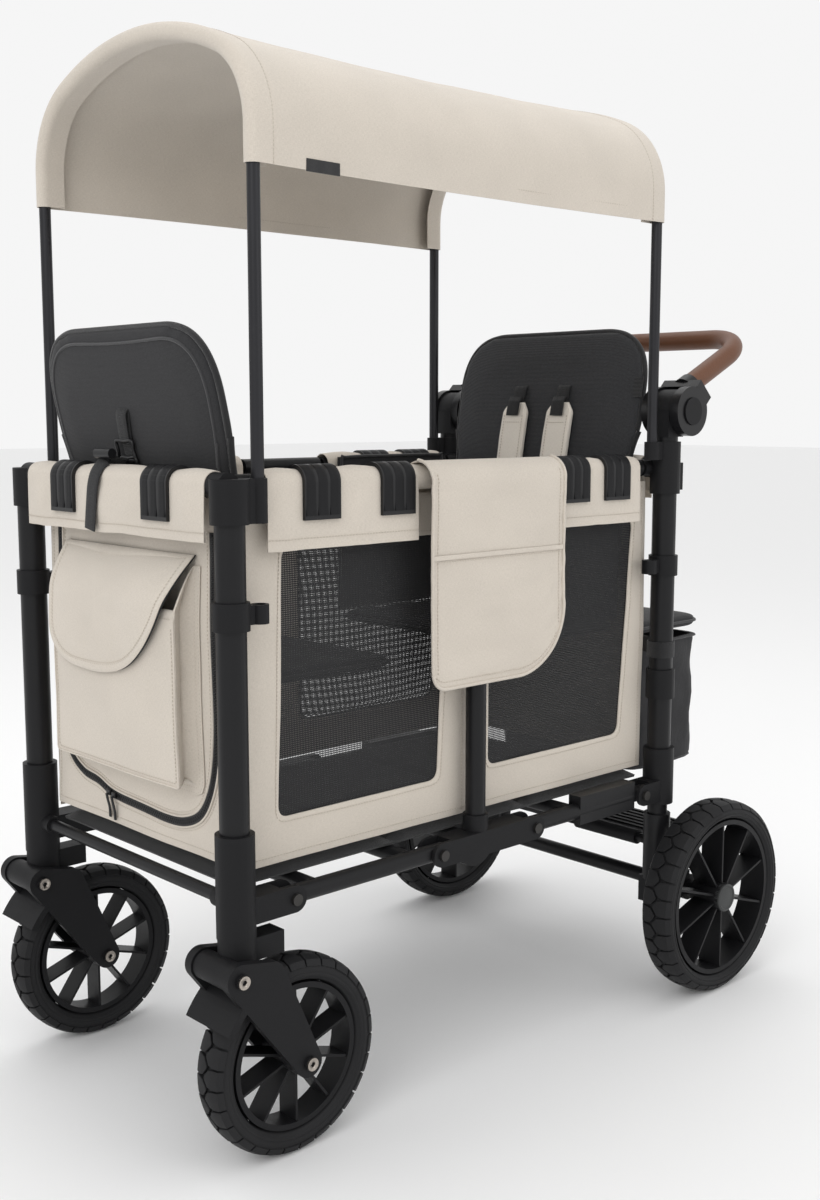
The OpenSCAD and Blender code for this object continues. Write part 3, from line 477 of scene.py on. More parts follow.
def weave_effect():
    """Crossed threads with slubs: a heathered colour, a fine relief and its sheen."""
    group, start, end = effect(
        "weave",
        [("Place", VECTOR, (0, 0, 0)), ("Thread", FLOAT, 420), ("Relief", FLOAT, 0.35),
         ("Heather", FLOAT, 0.5),
         ("Light", COLOUR, (0.7, 0.6, 0.5, 1)), ("Dark", COLOUR, (0.5, 0.45, 0.38, 1))],
        [("Colour", COLOUR), ("Roughness", FLOAT), ("Normal", VECTOR)],
    )
    nodes, link = group.nodes, group.links.new
    threads = []
    for direction in ("X", "Y"):
        wave = nodes.new("ShaderNodeTexWave")
        wave.bands_direction = direction
        wave.inputs["Distortion"].default_value = 1.2
        wave.inputs["Detail"].default_value = 1
        link(start.outputs["Place"], wave.inputs["Vector"])
        link(start.outputs["Thread"], wave.inputs["Scale"])
        threads.append(wave.outputs["Fac"])
    over = nodes.new("ShaderNodeMath")
    over.operation = "MAXIMUM"
    link(threads[0], over.inputs[0])
    link(threads[1], over.inputs[1])
    slubs = []
    for stretch in ((260, 1500, 900), (1500, 260, 900)):
        turn = nodes.new("ShaderNodeMapping")
        turn.inputs["Scale"].default_value = stretch
        slub = nodes.new("ShaderNodeTexNoise")
        slub.inputs["Scale"].default_value = 1
        slub.inputs["Detail"].default_value = 3
        link(start.outputs["Place"], turn.inputs["Vector"])
        link(turn.outputs["Vector"], slub.inputs["Vector"])
        slubs.append(slub.outputs["Fac"])
    both = nodes.new("ShaderNodeMath")
    both.operation = "ADD"
    link(slubs[0], both.inputs[0])
    link(slubs[1], both.inputs[1])
    spread = nodes.new("ShaderNodeMapRange")
    spread.inputs["From Min"].default_value = 0.72
    spread.inputs["From Max"].default_value = 1.28
    link(both.outputs[0], spread.inputs["Value"])
    amount = nodes.new("ShaderNodeMath")
    amount.operation = "MULTIPLY"
    link(spread.outputs["Result"], amount.inputs[0])
    link(start.outputs["Heather"], amount.inputs[1])
    soil = nodes.new("ShaderNodeTexNoise")
    soil.inputs["Scale"].default_value = 9
    soil.inputs["Detail"].default_value = 4
    link(start.outputs["Place"], soil.inputs["Vector"])
    soft = nodes.new("ShaderNodeMapRange")
    soft.inputs["From Min"].default_value = 0.3
    soft.inputs["From Max"].default_value = 0.75
    soft.inputs["To Min"].default_value = 1.03
    soft.inputs["To Max"].default_value = 0.94
    link(soil.outputs["Fac"], soft.inputs["Value"])
    shade = nodes.new("ShaderNodeMix")
    shade.data_type = "RGBA"
    link(amount.outputs[0], shade.inputs["Factor"])
    link(start.outputs["Light"], shade.inputs["A"])
    link(start.outputs["Dark"], shade.inputs["B"])
    dim = nodes.new("ShaderNodeVectorMath")
    dim.operation = "SCALE"
    link(shade.outputs["Result"], dim.inputs[0])
    link(soft.outputs["Result"], dim.inputs["Scale"])
    bump = nodes.new("ShaderNodeBump")
    bump.inputs["Distance"].default_value = 0.0005
    link(start.outputs["Relief"], bump.inputs["Strength"])
    link(over.outputs[0], bump.inputs["Height"])
    rough = nodes.new("ShaderNodeMapRange")
    rough.inputs["To Min"].default_value = 0.95
    rough.inputs["To Max"].default_value = 0.8
    link(over.outputs[0], rough.inputs["Value"])
    link(dim.outputs["Vector"], end.inputs["Colour"])
    link(rough.outputs["Result"], end.inputs["Roughness"])
    link(bump.outputs["Normal"], end.inputs["Normal"])
    return group


WEAVE = weave_effect()


def woven(name, light, dark, thread=420, relief=0.35, heather=0.55, by="UV", sheen=0.25):
    """A cloth finish made with the weave effect, laid by the piece's own UV map or by place."""
    material, tree, shader = new_material(name)
    place = tree.nodes.new("ShaderNodeTexCoord")
    cloth = tree.nodes.new("ShaderNodeGroup")
    cloth.node_tree = WEAVE
    for label, value in (("Thread", thread), ("Relief", relief), ("Heather", heather),
                         ("Light", (*light, 1)), ("Dark", (*dark, 1))):
        cloth.inputs[label].default_value = value
    tree.links.new(place.outputs[by], cloth.inputs["Place"])
    tree.links.new(cloth.outputs["Colour"], shader.inputs["Base Color"])
    tree.links.new(cloth.outputs["Roughness"], shader.inputs["Roughness"])
    tree.links.new(cloth.outputs["Normal"], shader.inputs["Normal"])
    shader.inputs["Sheen Weight"].default_value = sheen
    shader.inputs["Sheen Roughness"].default_value = 0.5
    shader.inputs["Specular IOR Level"].default_value = 0.25
    return material


canvas = woven("ecru_canvas", (0.66, 0.6, 0.525), (0.47, 0.42, 0.355))
thread_ecru = woven("ecru_thread", (0.56, 0.5, 0.43), (0.4, 0.36, 0.3), by="Object", relief=0.1)
black_tape = woven("black_tape", (0.017, 0.017, 0.018), (0.03, 0.03, 0.031), thread=300, by="Object",
                   relief=0.5)


def loft(name, rows, ring=False):
    """A sheet through rows of points, with a UV map in metres along and across."""
    mesh = bpy.data.meshes.new(name)
    piece = bpy.data.objects.new(name, mesh)
    bpy.context.collection.objects.link(piece)
    wide = len(rows[0])
    lap = wide if ring else wide - 1
    faces = [(r * wide + c, r * wide + (c + 1) % wide, (r + 1) * wide + (c + 1) % wide, (r + 1) * wide + c)
             for r in range(len(rows) - 1) for c in range(lap)]
    mesh.from_pydata([tuple(p) for row in rows for p in row], [], faces)
    across = [0.0]
    for c in range(wide):
        middle = rows[len(rows) // 2]
        across.append(across[-1] + (Vector(middle[(c + 1) % wide]) - Vector(middle[c])).length)
    along = [0.0]
    for near, far in zip(rows, rows[1:]):
        along.append(along[-1] + (Vector(far[wide // 2]) - Vector(near[wide // 2])).length)
    uv = mesh.uv_layers.new(name="cloth")
    for index, polygon in enumerate(mesh.polygons):
        r, c = divmod(index, lap)
        corners = ((across[c], along[r]), (across[c + 1], along[r]),
                   (across[c + 1], along[r + 1]), (across[c], along[r + 1]))
        for loop, corner in zip(polygon.loop_indices, corners):
            uv.data[loop].uv = corner
    return piece


def thicken(piece, thickness, offset=-1.0, sharp=50):
    """Gives a sheet its thickness and shades it smooth below an angle."""
    wall = piece.modifiers.new("wall", "SOLIDIFY")
    wall.thickness = thickness
    wall.offset = offset
    apply_all(piece)
    deselect()
    piece.select_set(True)
    bpy.context.view_layer.objects.active = piece
    bpy.ops.object.mode_set(mode="EDIT")
    bpy.ops.mesh.select_all(action="SELECT")
    bpy.ops.mesh.normals_make_consistent(inside=False)
    bpy.ops.object.mode_set(mode="OBJECT")
    bpy.ops.object.shade_smooth_by_angle(angle=math.radians(sharp))
    piece.select_set(False)
    return piece


def ripple(x, y, z, size, depth):
    """A smooth, repeatable unevenness for slack cloth."""
    spot = Vector((x, y, z)) / size
    return depth * (noise.noise(spot) + 0.45 * noise.noise(spot * 2.3 + Vector((7, 3, 1))))


def stitches(name, path, out, pitch=0.0046, length=0.0031, thick=0.0006):
    """A row of short stitches along a path, each lying on the cloth."""
    shell = bmesh.new()
    run, carry = 0.0, pitch / 2
    for near, far in zip(path, path[1:]):
        near, far = Vector(near), Vector(far)
        gap = (far - near).length
        if gap < 1e-7:
            continue
        ahead = (far - near) / gap
        while carry < gap:
            middle = near + ahead * carry
            up = Vector(out(middle)).normalized() if callable(out) else Vector(out)
            side = ahead.cross(up).normalized()
            ends = []
            for end, drop in ((-0.5, -0.7), (-0.28, 0.6), (0.28, 0.6), (0.5, -0.7)):
                spot = middle + ahead * end * length + up * drop * thick
                ends.append([shell.verts.new(spot + side * s * thick * 0.7) for s in (-1, 1)])
            for (a, b), (c, d) in zip(ends, ends[1:]):
                shell.faces.new((a, b, d, c))
            shell.faces.new((ends[0][0], ends[3][0], ends[3][1], ends[0][1]))
            shell.faces.new((ends[0][0], ends[1][0], ends[2][0], ends[3][0]))
            shell.faces.new((ends[0][1], ends[3][1], ends[2][1], ends[1][1]))
            carry += pitch
        carry -= gap
    bmesh.ops.recalc_face_normals(shell, faces=shell.faces)
    piece = bpy.data.objects.new(name, bpy.data.meshes.new(name))
    bpy.context.collection.objects.link(piece)
    shell.to_mesh(piece.data)
    shell.free()
    wear(piece, thread_ecru)
    return piece


hoop_front, hoop_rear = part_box("front_hoop"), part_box("rear_hoop")
hoop_y = ((hoop_rear[0].y + hoop_rear[1].y) - (hoop_front[0].y + hoop_front[1].y)) / 4
canopy_low, canopy_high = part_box("canopy")
canopy_half = canopy_high.x
canopy_edge, canopy_top = canopy_low.z, canopy_high.z
crown_r, corner_r = 0.42, 0.115
corner_x = canopy_half - corner_r
corner_z = canopy_top - crown_r + math.sqrt((crown_r - corner_r) ** 2 - corner_x ** 2)
lean = math.acos(corner_x / (crown_r - corner_r))


def arch(lift):
    """Points across the canopy, from one lower edge over the crown to the other, at a height off its skin."""
    side = []
    for k in range(9):
        side.append((canopy_half + lift, canopy_edge + (corner_z - canopy_edge) * k / 8, 1, 0))
    for k in range(1, 15):
        a = lean * k / 14
        side.append((corner_x + (corner_r + lift) * math.cos(a), corner_z + (corner_r + lift) * math.sin(a),
                     math.cos(a), math.sin(a)))
    for k in range(1, 17):
        a = lean + (math.pi / 2 - lean) * k / 16
        side.append(((crown_r + lift) * math.cos(a), canopy_top - crown_r + (crown_r + lift) * math.sin(a),
                     math.cos(a), math.sin(a)))
    return side + [(-x, z, -nx, nz) for x, z, nx, nz in reversed(side[:-1])]


hoop_lift = -0.0109
wrap_r = 0.0089
stations = []
for k in range(10):
    turn = math.radians(-100 + 190 * k / 9)
    stations.append((hoop_y + wrap_r * math.cos(turn), hoop_lift + wrap_r * math.sin(turn)))
front_end_rows = [(-y, lift) for y, lift in stations]
front_end_rows = [(-hoop_y + 0.024, hoop_lift - wrap_r + 0.001)] + front_end_rows
rear_end_rows = list(reversed([(-y, lift) for y, lift in front_end_rows]))
middle_rows = []
for k in range(1, 40):
    y = -hoop_y + 0.012 + (2 * hoop_y - 0.024) * k / 40
    slack = 1 - (y / hoop_y) ** 2
    middle_rows.append((y, -0.0022 - 0.0065 * slack ** 0.8))
rows = []
for y, lift in front_end_rows + middle_rows + rear_end_rows:
    row = []
    for x, z, nx, nz in arch(lift):
        slack = max(0.0, 1 - (y / hoop_y) ** 2)
        low_share = max(0.0, 1 - (z - canopy_edge) / 0.06)
        dent = ripple(x, y, z, 0.09, 0.0016) * slack
        row.append(at(x + nx * dent - nx * 0.004 * slack * low_share, y, z + nz * dent))
    rows.append(row)
canopy = thicken(loft("canopy_cloth", rows), 0.0014)
wear(canopy, canvas)

hems = []
for y in (-hoop_y + 0.021, hoop_y - 0.021):
    line = [at(x, y, z) for x, z, nx, nz in arch(-0.0016)]
    hems.append(stitches("hoop_hem", line, lambda p: (p - at(0, p.y - MIDDLE, canopy_top - crown_r))))
for side in (-1, 1):
    for up in (0.016,):
        line = [at(side * (canopy_half - 0.0022 - 0.009 * (1 - (y / hoop_y) ** 2)), y, canopy_edge + up)
                for y in [-hoop_y + 0.01 + (2 * hoop_y - 0.02) * k / 60 for k in range(61)]]
        hems.append(stitches("edge_hem", line, (side, 0, 0)))
canopy_stitches = gather("canopy_stitches", hems)
for piece in (canopy, canopy_stitches):
    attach(piece, "rear_canopy")
    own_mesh(piece)
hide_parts("canopy")

bpy.ops.mesh.primitive_grid_add(x_subdivisions=12, y_subdivisions=5, size=1)
tab = bpy.context.object
tab.name = "canopy_tab"
for vertex in tab.data.vertices:
    u, v = vertex.co.x, vertex.co.y
    y = -0.2615 + u * 0.05
    vertex.co = at(canopy_half - 0.0002 - 0.0105 * (1 - (y / hoop_y) ** 2), y,
                   canopy_edge + 0.0055 + v * 0.014)
tab_wall = tab.modifiers.new("wall", "SOLIDIFY")
tab_wall.thickness = 0.0012
apply_all(tab)
settle(tab)
wear(tab, black_tape)
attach(tab, "rear_canopy")
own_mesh(tab)

# ---- Side canvas and netting -----------------------------------------------
# Each side is one taut canvas panel with two rounded windows, their edges
# turned in and topstitched. Fine black netting is sewn behind the windows, and
# a felled seam runs up the middle, behind the middle post.
link_low, link_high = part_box("front_top_links")
rail_r = (link_high.z - link_low.z) / 2
rail_x, rail_z = link_high.x - rail_r, (link_high.z + link_low.z) / 2
panel_face = rail_x - 0.005
basket_low, basket_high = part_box("basket")
end_y = (basket_high.y - basket_low.y) / 2
panel_low = 0.345
mid_seam = -0.003


def net_finish():
    """Fine knitted netting: rows of round holes between black threads."""
    material, tree, shader = new_material("black_netting")
    nodes, link = tree.nodes, tree.links.new
    place = nodes.new("ShaderNodeTexCoord")
    dots = []
    for direction in ("X", "Y"):
        wave = nodes.new("ShaderNodeTexWave")
        wave.bands_direction = direction
        wave.inputs["Scale"].default_value = 125
        link(place.outputs["UV"], wave.inputs["Vector"])
        dots.append(wave.outputs["Fac"])
    hole = nodes.new("ShaderNodeMath")
    hole.operation = "MULTIPLY"
    link(dots[0], hole.inputs[0])
    link(dots[1], hole.inputs[1])
    cover = nodes.new("ShaderNodeMapRange")
    cover.inputs["From Min"].default_value = 0.42
    cover.inputs["From Max"].default_value = 0.55
    cover.inputs["To Min"].default_value = 1
    cover.inputs["To Max"].default_value = 0.12
    link(hole.outputs[0], cover.inputs["Value"])
    link(cover.outputs["Result"], shader.inputs["Alpha"])
    bump = nodes.new("ShaderNodeBump")
    bump.inputs["Strength"].default_value = 0.4
    bump.inputs["Distance"].default_value = 0.0005
    link(hole.outputs[0], bump.inputs["Height"])
    link(bump.outputs["Normal"], shader.inputs["Normal"])
    shade = nodes.new("ShaderNodeMapRange")
    shade.inputs["To Min"].default_value = 0.75
    shade.inputs["To Max"].default_value = 0.5
    link(hole.outputs[0], shade.inputs["Value"])
    link(shade.outputs["Result"], shader.inputs["Roughness"])
    tint = nodes.new("ShaderNodeMix")
    tint.data_type = "RGBA"
    tint.inputs["A"].default_value = (0.012, 0.012, 0.013, 1)
    tint.inputs["B"].default_value = (0.02, 0.02, 0.021, 1)
    link(hole.outputs[0], tint.inputs["Factor"])
    link(tint.outputs["Result"], shader.inputs["Base Color"])
    return material


netting = net_finish()
PER_SIDE = 16


def ring_points(corners, radius):
    """A closed outline with rounded corners and the same count of points on each side."""
    outline = []
    for k in range(4):
        before, a, b, after = (Vector(corners[(k + n) % 4]) for n in (-1, 0, 1, 2))
        start, end = a + (b - a).normalized() * radius, b - (b - a).normalized() * radius
        enter, leave = a - (a - before).normalized() * radius, b + (after - b).normalized() * radius
        for n in range(PER_SIDE):
            if n < 4:
                t = 0.5 + n / 8
                spot = enter * (1 - t) ** 2 + a * 2 * t * (1 - t) + start * t ** 2
            elif n < 12:
                spot = start.lerp(end, (n - 4) / 8)
            else:
                t = (n - 12) / 8
                spot = end * (1 - t) ** 2 + b * 2 * t * (1 - t) + leave * t ** 2
            outline.append(spot)
    return outline


def squash_fold(piece):
    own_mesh(piece)


windows = [
    [(-0.312, 0.398), (-0.05, 0.398), (-0.033, 0.722), (-0.303, 0.722)],
    [(0.043, 0.401), (0.322, 0.401), (0.347, 0.722), (0.041, 0.722)],
]
cells = [[(-end_y, panel_low), (mid_seam, panel_low), (mid_seam, 0.775), (-end_y, 0.775)],
         [(mid_seam, panel_low), (end_y, panel_low), (end_y, 0.775), (mid_seam, 0.775)]]


def side_skin(side, y, z, lift=0.0):
    """A point on a side panel: taut, a little full between its edges."""
    full = math.sin(math.pi * min(1, max(0, (z - panel_low) / 0.43))) * 0.0022
    return at(side * (panel_face + lift + full + ripple(y, z, side, 0.13, 0.0018)), y, z)


for side, hand in ((-1, "left"), (1, "right")):
    frames, nets, rows_of_thread = [], [], []
    for cell, window in zip(cells, windows):
        outer, inner = ring_points(cell, 0.0), ring_points(window, 0.016)
        rings = []
        for k in range(9):
            part = k / 8
            rings.append([side_skin(side, *a.lerp(b, part), 0.0006 * math.sin(math.pi * part))
                          for a, b in zip(outer, inner)])
        hem = [a.lerp(b, 1.0) for a, b in zip(outer, inner)]
        middle = sum(hem, Vector((0, 0))) / len(hem)
        for inward, drop in ((0.0012, -0.0007), (0.0014, -0.0022), (-0.002, -0.0032), (-0.008, -0.0032)):
            rings.append([side_skin(side, *(p + (middle - p).normalized() * inward), drop) for p in hem])
        frames.append(thicken(loft("frame", rings, ring=True), 0.0011, 1.0 if side < 0 else -1.0))
        line = [side_skin(side, *(p - (middle - p).normalized() * 0.0055), 0.0009) for p in hem + hem[:1]]
        rows_of_thread.append(stitches("window_stitch", line, (side, 0, 0)))
        lip = ring_points([Vector(p) + (Vector(p) - middle).normalized() * 0.007 for p in window], 0.016)
        left_edge = [lip[48 + n] for n in range(PER_SIDE)] + [lip[0]]
        right_edge = [lip[32 - n] for n in range(PER_SIDE)] + [lip[16]]
        grid = []
        for n in range(17):
            top, low = left_edge[n], right_edge[n]
            grid.append([side_skin(side, *top.lerp(low, m / 20),
                                   -0.0032 - 0.004 * math.sin(math.pi * m / 20) *
                                   math.sin(math.pi * n / 16) + ripple(n, m, side, 5.0, 0.0008))
                         for m in range(21)])
        nets.append(loft("net", grid))
    seam = [side_skin(side, mid_seam + off, z, 0.0008) for off in (-0.004,)
            for z in [panel_low + 0.004 + 0.42 * k / 40 for k in range(41)]]
    rows_of_thread.append(stitches("seam_stitch", seam, (side, 0, 0)))
    hem_line = [side_skin(side, -end_y + 0.006 + (2 * end_y - 0.012) * k / 60, panel_low + 0.009, 0.0008)
                for k in range(61)]
    rows_of_thread.append(stitches("hem_stitch", hem_line, (side, 0, 0)))
    for near in (-end_y + 0.009, end_y - 0.009):
        edge_line = [side_skin(side, near, panel_low + 0.005 + 0.42 * k / 40, 0.0008) for k in range(41)]
        rows_of_thread.append(stitches("edge_stitch", edge_line, (side, 0, 0)))
    panel = gather(f"{hand}_side_canvas", frames)
    wear(panel, canvas)
    net = gather(f"{hand}_side_netting", nets)
    wear(net, netting)
    thread = gather(f"{hand}_side_stitches", rows_of_thread)
    for piece, slot in ((panel, "canvas"), (net, "black_cloth"), (thread, "canvas")):
        bpy.context.view_layer.objects.active = piece
        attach(piece, "rear_frame")
        squash_fold(piece)
    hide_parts("basket")


# ---- Rail sleeves and valances ---------------------------------------------
# Doubled canvas that wraps the top rails and hangs outside as a soft valance
# with a stitched hem. It puffs between the seat clips, which pinch it flat.
clip_boxes = {"rear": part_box("rear_rail_clips"), "front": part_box("front_rail_clips"),
              "head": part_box("front_clips")}
CLIP_W = 0.054
rear_clip_y = [clip_boxes["rear"][1].y - MIDDLE - CLIP_W / 2, clip_boxes["rear"][0].y - MIDDLE + CLIP_W / 2]
front_clip_y = [clip_boxes["front"][1].y - MIDDLE - CLIP_W / 2,
                clip_boxes["front"][0].y - MIDDLE + CLIP_W / 2]
head_clip_x = [clip_boxes["head"][0].x + CLIP_W / 2, clip_boxes["head"][1].x - CLIP_W / 2]
SLEEVE_R = 0.0156


def puff(along, clips, start, end):
    """How far the sleeve swells, from 0 at a clip or an end to 1 between them."""
    gaps = [abs(along - c) - CLIP_W / 2 for c in clips] + [along - start + 0.004, end - along + 0.004]
    return min(1.0, max(0.0, min(gaps) / 0.03)) ** 0.7


def sleeve(name, start, end, hem, clips, place):
    """A sleeve along a rail; place(out, along, up) puts a point into the wagon."""
    rows, line = [], []
    steps = max(6, round((end - start) / 0.006))
    for k in range(steps + 1):
        along = start + (end - start) * k / steps
        swell = puff(along, clips, start, end)
        wave = ripple(along, hem, place(0, 0, 0).x, 0.055, 1.0)
        row = []
        for n in range(5):
            row.append((-SLEEVE_R - 0.0006, -0.028 + 0.007 * n))
        for n in range(1, 15):
            turn = math.pi - math.pi * n / 14
            r = SLEEVE_R + swell * (0.0012 + 0.0016 * math.sin(turn) + 0.0006 * wave)
            row.append((r * math.cos(turn), r * math.sin(turn)))
        low = hem - rail_z + 0.002 * wave * swell
        for n in range(1, 13):
            part = n / 12
            fat = math.sin(math.pi * min(1, part * 1.15)) * swell
            flare = 0.0008 * part + swell * 0.0035 * fat + 0.0013 * wave * part
            row.append((SLEEVE_R + 0.0002 + flare, low * part))
        row.append((SLEEVE_R - 0.0012, low + 0.0005))
        row.append((SLEEVE_R - 0.0022, low + 0.012))
        rows.append([place(out, along, up) for out, up in row])
        line.append(place(row[-5][0] + 0.0007, along, row[-5][1]))
    cloth = thicken(loft(name, rows), 0.001)
    wear(cloth, canvas)
    return cloth, line


for side, hand in ((-1, "left"), (1, "right")):
    spans = (("front", "front_rails", -0.337, -0.104 if side > 0 else -0.07, front_clip_y),
             ("rear", "rear_rails", 0.157 if side > 0 else 0.093, 0.337, rear_clip_y))
    for end, body, start, stop, clips in spans:
        cloth, line = sleeve(f"{hand}_{end}_sleeve", start, stop, 0.7185, clips,
                             lambda out, along, up: at(side * (rail_x + out), along, rail_z + up))
        thread = stitches(f"{hand}_{end}_sleeve_stitches", line, (side, 0, 0))
        for piece in (cloth, thread):
            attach(piece, body)
        if side < 0 or end == "rear":
            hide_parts("basket")

# The flap side's sleeves run on under the flap to the middle post
for end, body, start, stop in (("front", "front_rails", -0.104, -0.068),
                               ("rear", "rear_rails", 0.09, 0.157)):
    rows = []
    for k in range(9):
        along = start + (stop - start) * k / 8
        rows.append([at(rail_x + SLEEVE_R * 0.99 * math.cos(turn), along,
                        rail_z + SLEEVE_R * 0.99 * math.sin(turn))
                     for turn in [math.radians(t) for t in range(-60, 241, 15)]])
    cuff = thicken(loft(f"right_{end}_cuff", rows), 0.001)
    wear(cuff, canvas)
    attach(cuff, body)


# ---- Floor pad -------------------------------------------------------------
# A thin padded mat of black cloth, quilted into three, that lies on the cross
# tubes and closes the basket below.
floor_low = basket_low.z
half_x, half_y = panel_face - 0.0045, end_y - 0.003
rows = []
for k in range(61):
    y = -half_y + 2 * half_y * k / 60
    row = []
    for n in range(31):
        x = -half_x + 2 * half_x * n / 30
        quilt = min(abs(y - half_y / 3), abs(y + half_y / 3), half_y - abs(y), half_x - abs(x))
        row.append(at(x, y, floor_low + 0.004 + 0.008 * min(1, max(0, quilt) / 0.012) ** 0.5))
    rows.append(row)
mat = loft("floor_mat", rows)
mat = thicken(mat, 0.0035)
wear(mat, black_tape)
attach(mat, "rear_frame")
squash_fold(mat)
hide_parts("basket")


# ---- Front wall ------------------------------------------------------------
# One canvas panel between the front posts, hung by its sleeve from the cross
# rail. Its lower edge is hemmed, and a curved zip lets the whole wall drop.
def smooth_path(points, step, closed=False):
    """An even path on a smooth curve through a few points."""
    knots = [Vector(p) for p in points]
    count, dense = len(knots), []
    for k in range(count if closed else count - 1):
        if closed:
            a, b, c, d = (knots[(k + n - 1) % count] for n in range(4))
        else:
            a, b, c, d = knots[max(0, k - 1)], knots[k], knots[k + 1], knots[min(count - 1, k + 2)]
        for n in range(12):
            t = n / 12
            dense.append(0.5 * (2 * b + (c - a) * t + (2 * a - 5 * b + 4 * c - d) * t * t
                                + (3 * b - a - 3 * c + d) * t ** 3))
    dense.append(dense[0].copy() if closed else knots[-1].copy())
    runs = [0.0]
    for near, far in zip(dense, dense[1:]):
        runs.append(runs[-1] + (far - near).length)
    parts, path, spot = max(2, round(runs[-1] / step)), [], 0
    for n in range(parts if closed else parts + 1):
        want = runs[-1] * n / parts
        while spot < len(runs) - 2 and runs[spot + 1] < want:
            spot += 1
        gap = runs[spot + 1] - runs[spot]
        path.append(dense[spot].lerp(dense[spot + 1], (want - runs[spot]) / gap if gap else 0))
    return path


def strap_section(width, thick):
    """The rounded cross-section of a flat tape."""
    w, t = width / 2, thick / 2
    return [(-w, -t / 2), (-w, t / 2), (-w + t, t), (-w / 3, t), (w / 3, t), (w - t, t),
            (w, t / 2), (w, -t / 2), (w - t, -t), (w / 3, -t), (-w / 3, -t), (-w + t, -t)]


def cord_section(radius, count=8):
    return [(radius * math.cos(math.tau * n / count), radius * math.sin(math.tau * n / count))
            for n in range(count)]


def sweep(name, path, section, out, material, rib=0.0, rib_pitch=0.0032, closed=False):
    """Carries a closed cross-section of (across, up) points along a path; ribs swell it at a pitch."""
    rows, run, count = [], 0.0, len(path)
    for k, point in enumerate(path):
        near = path[k - 1] if closed or k else path[0]
        far = path[(k + 1) % count] if closed or k < count - 1 else path[k]
        ahead = (far - near).normalized()
        up = Vector(out(point) if callable(out) else out)
        up = (up - ahead * up.dot(ahead)).normalized()
        side = ahead.cross(up)
        run += (point - path[k - 1]).length if k else 0
        swell = 1 + rib * math.sin(math.tau * run / rib_pitch)
        rows.append([point + side * a + up * u * swell for a, u in section])
    piece = loft(name, rows + rows[:1] if closed else rows, ring=True)
    shell = bmesh.new()
    shell.from_mesh(piece.data)
    bmesh.ops.remove_doubles(shell, verts=shell.verts, dist=1e-6)
    bmesh.ops.holes_fill(shell, edges=[e for e in shell.edges if e.is_boundary])
    bmesh.ops.recalc_face_normals(shell, faces=shell.faces)
    shell.to_mesh(piece.data)
    shell.free()
    deselect()
    piece.select_set(True)
    bpy.context.view_layer.objects.active = piece
    bpy.ops.object.shade_smooth_by_angle(angle=math.radians(50))
    piece.select_set(False)
    wear(piece, material)
    return piece


webbing = woven("black_webbing", (0.013, 0.013, 0.014), (0.03, 0.03, 0.031), thread=260, relief=0.6,
                heather=0.5, sheen=0.15)
wall_x, wall_low = 0.197, 0.352
WALL_OUT = end_y + 0.0028


def front_skin(x, z, lift=0.0):
    """A point on the front canvas, which is a little full in the middle."""
    full = 0.0065 * math.cos(math.pi / 2 * min(1, abs(x) / wall_x)) ** 0.8 * math.sin(
        math.pi * min(1, max(0, (z - wall_low) / 0.44)))
    return at(x, -(WALL_OUT + lift + full + ripple(x, z, 3.1, 0.12, 0.0024)), z)


rows = []
for k in range(71):
    z = wall_low + (0.79 - wall_low) * k / 70
    rows.append([front_skin(-wall_x + 2 * wall_x * n / 60, z) for n in range(61)])
front_canvas = thicken(loft("front_canvas", rows), 0.0012)
wear(front_canvas, canvas)

zip_points = [(-0.168, 0.74), (-0.171, 0.68), (-0.174, 0.60), (-0.175, 0.52), (-0.171, 0.46),
              (-0.157, 0.428), (-0.125, 0.408), (-0.092, 0.402), (-0.062, 0.392), (-0.03, 0.3885),
              (0.02, 0.387), (0.068, 0.385), (0.108, 0.389), (0.139, 0.403), (0.16, 0.43), (0.172, 0.47),
              (0.178, 0.53), (0.177, 0.61), (0.175, 0.68), (0.173, 0.74)]
zip_flat = smooth_path([(x, 0, z) for x, z in zip_points], 0.004)
front_out = (0, -1, 0)
zip_line = [front_skin(p.x, p.z, 0.0006) for p in zip_flat]
tape = sweep("zip_tape", zip_line, strap_section(0.014, 0.0014), front_out, webbing)


def beside(flat, gap):
    """A line at a distance beside a flat (x, z) path."""
    line = []
    for k, p in enumerate(flat):
        ahead = (flat[min(len(flat) - 1, k + 1)] - flat[max(0, k - 1)]).normalized()
        line.append(p + Vector((-ahead.z, 0, ahead.x)) * gap)
    return line


zip_edges, zip_threads = [], []
for hand in (-1, 1):
    fold = [front_skin(p.x, p.z, 0.0008) for p in beside(zip_flat, hand * 0.0068)]
    zip_edges.append(sweep("zip_fold", fold, cord_section(0.0016), front_out, canvas))
    zip_threads.append(stitches("zip_stitch",
                                [front_skin(p.x, p.z, 0.0004) for p in beside(zip_flat, hand * 0.0115)],
                                front_out))
zip_fold = gather("zip_folds", zip_edges)

# ---- Zip -------------------------------------------------------------------
# A coarse black moulded zip: two rows of teeth along the tape, and two sliders
# at the foot of the curve with tape pulls that hang down.
bpy.ops.mesh.primitive_cube_add(size=1)
tooth = bpy.context.object
tooth.data.transform(Matrix.Diagonal((0.0034, 0.0012, 0.0013, 1)))
teeth = bmesh.new()
fine = smooth_path(zip_line, 0.0021)
for k in range(1, len(fine) - 1):
    ahead = (fine[k + 1] - fine[k - 1]).normalized()
    up = Vector(front_out)
    side = ahead.cross(up).normalized()
    up = side.cross(ahead)
    turn = Matrix((side, ahead, up)).transposed().to_4x4()
    shift = side * (0.0012 if k % 2 else -0.0012)
    copy = tooth.data.copy()
    copy.transform(Matrix.Translation(fine[k] + shift + up * 0.0011) @ turn)
    teeth.from_mesh(copy)
    bpy.data.meshes.remove(copy)
bpy.data.objects.remove(tooth)
